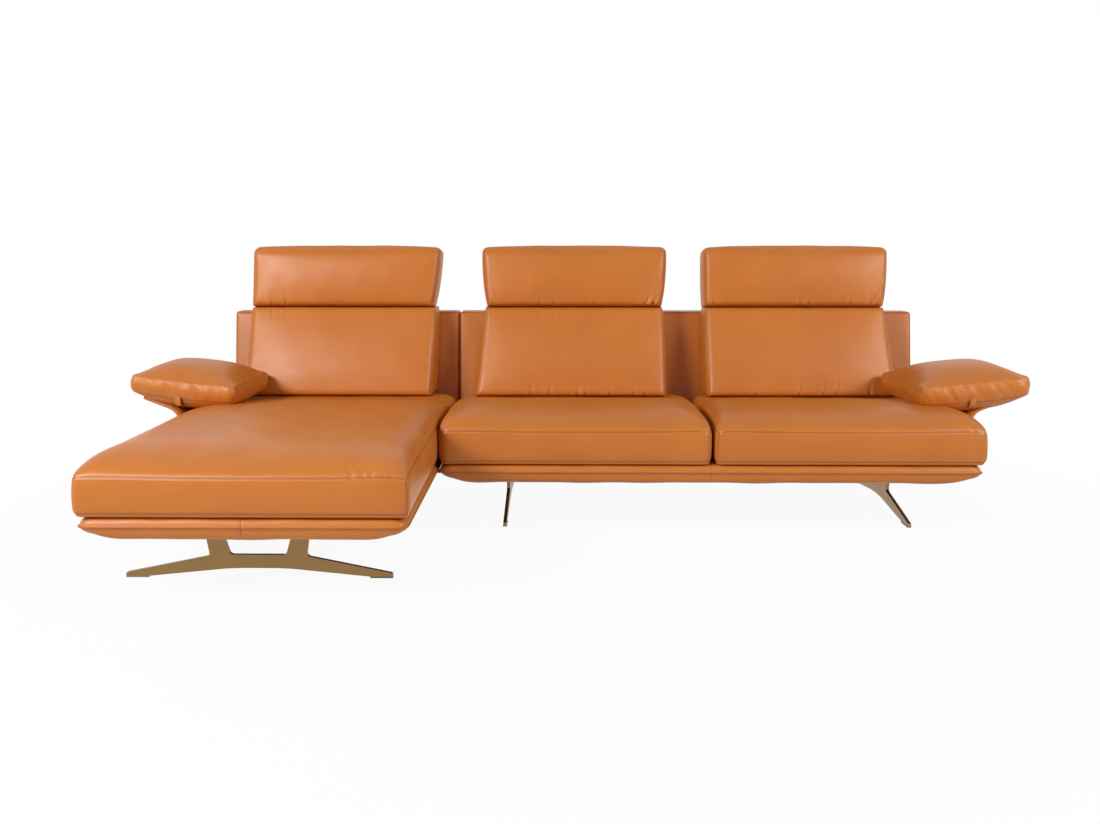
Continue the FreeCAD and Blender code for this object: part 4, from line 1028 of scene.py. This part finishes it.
def arm_wing(module, side, phase):
    """A leaf along a line that rises straight, turns outward on an arc and runs straight to its edge.
    Its thickness falls from full to the lip's over a short way from the edge."""
    node = module + "_arm_wing"
    low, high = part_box(node)
    inner = low.x if side > 0 else -high.x
    arc_start = wing_bend_foot - low.z
    arc_length = wing_bend * wing_turn
    reach = wing_reach[module]
    length = arc_start + arc_length + reach
    depth = high.y - low.y
    u, v, w, quads = block_skin(spaced(length, 0.011), np.linspace(0, 1, 5), spaced(depth, 0.02))
    edge_gap = np.minimum(np.minimum(u, length - u), np.minimum(w, depth - w))
    seam, along = seam_places(u, v * wing_thick, w, length, wing_thick, depth)
    turn = np.clip((u - arc_start) / wing_bend, 0, wing_turn)
    past = np.clip(u - arc_start - arc_length, 0, 1)
    centre_x = inner + wing_thick / 2 + wing_bend
    line_x = centre_x - wing_bend * np.cos(turn) + past * math.sin(wing_turn)
    flared_z = wing_bend_foot + wing_bend * np.sin(turn) + past * math.cos(wing_turn)
    line_z = np.where(u < arc_start, low.z + u, flared_z)
    body = wing_lip + (wing_thick - wing_lip) * shoulder(edge_gap, 0.04, 2.2)
    body = body + wing_wave * ripple(u + w, 0.15, phase) * shoulder(edge_gap, 0.05, 2.0)
    off = (v - 0.5) * body
    x = line_x + off * np.cos(turn)
    z = line_z - off * np.sin(turn)
    y = low.y + w
    lift = wing_lift * ripple(w, 0.5, phase) * np.clip(past / reach, 0, 1)
    points = np.stack([side * x, y, z + lift], 1)
    order = 1 if side > 0 else -1
    piece = leather_piece(module + "_wing_cover", points, quads[:, ::order], seam=seam, along=along)
    subdivide(piece, 1)
    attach(piece, "frame")
    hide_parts(node)


arm_wing("chaise", -1, 0.5)
arm_wing("sofa", 1, 2.4)


# Arm cushions: small boxed leather cushions that lie on the wings and slope in toward the seats.
# Crowned above and below, with puckers along the front boxing where the cover is loose.
arm_boxing = {"chaise": 0.056, "sofa": 0.062}
arm_crown = 0.046
arm_belly = 0.036
arm_taper = {"chaise": (0.016, 0.009), "sofa": (0.018, -0.004)}
arm_width = {"chaise": 0.380, "sofa": 0.390}
arm_slope = {"chaise": math.radians(6.5), "sofa": math.radians(5.8)}
arm_middle = {"chaise": -1.362, "sofa": 1.389}
arm_seam = {"chaise": 0.4585, "sofa": 0.4535}
arm_radius = 0.026
arm_droop = 0.009
arm_sag = 0.012
arm_mesh = (0.010, 0.010, 0.008)
arm_seam_shade_offset = 0.0012
arm_wave = 0.0014
arm_swell = 0.007
arm_pucker = 0.0032
arm_wrinkle = 0.0018
arm_pull = 0.004
arm_give = 0.008
arm_slack = 0.004


def arm_cushion(module, side, phase):
    """A block with shoulders above and below its boxing, narrowed toward the seat and sloped on the wing.
    Ripples pucker its front boxing, and its inner lower edge sags onto the seat."""
    node = module + "_arm_cushion"
    low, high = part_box(node)
    depth = high.y - low.y
    width = arm_width[module]
    boxing = arm_boxing[module]
    slope = arm_slope[module]
    u, v, w, quads = cut_block((width, depth, boxing), arm_mesh)
    seam, along = seam_places(u, v, w, width, depth, boxing)
    # Above the lowest part of the boxing the seam distance is raised, so the painted shade in those seams'
    # folds is fainter there, and their stitch rows sit closer to the seam.
    seam = seam + arm_seam_shade_offset * (w > 0.15 * boxing)
    top = w > boxing - hair
    bottom = w < hair
    side_gap = np.minimum(u, width - u)
    end_gap = np.minimum(v, depth - v)
    edge_gap = np.minimum(side_gap, end_gap)
    on_side = edge_gap < hair
    sewn = on_side & (top | bottom)
    full = shoulder(side_gap, width / 2, 3.2) * shoulder(end_gap, depth / 2, 2.8)
    rise = arm_crown * full + arm_wave * ripple(u + v, 0.08, phase) * fade(edge_gap, 0.03)
    x, y = round_corners(u, v, width, depth, (arm_radius,) * 4)
    out_x = x - np.clip(x, arm_radius, width - arm_radius)
    out_y = y - np.clip(y, arm_radius, depth - arm_radius)
    out_length = np.maximum(np.hypot(out_x, out_y), hair)
    swell = np.sin(np.pi * w / boxing)
    bulge = arm_swell * swell + arm_pucker * ripple(u + 0.6 * w, 0.055, phase) * swell * fade(v, 0.05)
    bulge = np.where(sewn, -seam_sink / 2, bulge) * on_side
    x = x + bulge * out_x / out_length + arm_pull * np.sin(np.pi * v / depth) * (1 - 2 * x / width)
    y = y + bulge * out_y / out_length + arm_pull * np.sin(np.pi * u / width) * (1 - 2 * y / depth)
    hang = arm_belly * shoulder(side_gap, 0.14, 2.4) * shoulder(end_gap, 0.06, 2.4, 0.8)
    z = w + np.where(top, rise, 0) - np.where(bottom, hang, 0)
    z = z - arm_droop * np.sin(np.pi * u / width) * fade(v, 0.10) * (1 - 0.5 * w / boxing)
    wrinkle = arm_wrinkle * ripple(u, 0.07, phase + 1) * fade(v, 0.02)
    z = z + np.where(top | bottom, 0, wrinkle)
    front, rear = arm_taper[module]
    inner = np.clip(-side * (2 * x / width - 1), 0, 1)
    x = x + side * inner * (front + (rear - front) * v / depth)
    z = z - arm_sag * inner ** 2 * np.sqrt(np.sin(np.pi * v / depth).clip(0)) * (1 - w / boxing)
    across = x - width / 2
    lift = math.sin(slope) * side
    place_x = arm_middle[module] + across * math.cos(slope) - z * lift
    place_z = arm_seam[module] + across * lift + z * math.cos(slope)
    points = np.stack([place_x, low.y + y, place_z], 1)
    piece = leather_piece(module + "_arm_cover", points, quads, seam=seam, along=along)
    puff(piece, sewn, pressure=0.4, most=arm_give, slack=arm_slack, ease=2)
    subdivide(piece, 1)
    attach(piece, "frame")
    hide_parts(node)


arm_cushion("chaise", -1, 0.8)
arm_cushion("sofa", 1, 3.0)


# Arm straps: narrow leather bands that tie each arm cushion to its wing.
# Sewn in at the cushion's lower front seam, each hangs down its front and turns back to the wing's edge.
strap_thick = 0.003
strap_bend = 0.018
strap_trim = 0.004
strap_drop = 0.013
strap_shift = 0.012


def arm_strap(module, inward):
    """A flat band along a line that falls straight and turns back on a quarter circle."""
    node = module + "_arm_strap"
    low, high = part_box(node)
    width = high.x - low.x - 2 * strap_trim
    fall = high.z - low.z - strap_bend - strap_drop
    back = high.y - low.y - strap_bend - strap_thick
    quarter = strap_bend * math.pi / 2
    length = fall + quarter + back
    places = [np.linspace(0, size, count) for size, count in ((width, 7), (strap_thick, 3), (length, 40))]
    u, v, w, quads = block_skin(*places)
    seam = np.minimum(np.minimum(u, width - u), strap_trim)
    turn = np.clip((w - fall) / strap_bend, 0, math.pi / 2)
    past = np.clip(w - fall - quarter, 0, 1)
    line_y = low.y + strap_bend * (1 - np.cos(turn)) + past
    line_z = high.z - strap_drop - np.minimum(w, fall) - strap_bend * np.sin(turn)
    y = line_y + v * np.cos(turn)
    z = line_z + v * np.sin(turn)
    points = np.stack([low.x + inward + strap_trim + u, y, z], 1)
    piece = leather_piece(module + "_strap_band", points, quads, seam=seam, along=w)
    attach(piece, "frame")
    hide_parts(node)


arm_strap("chaise", strap_shift)
arm_strap("sofa", -strap_shift)
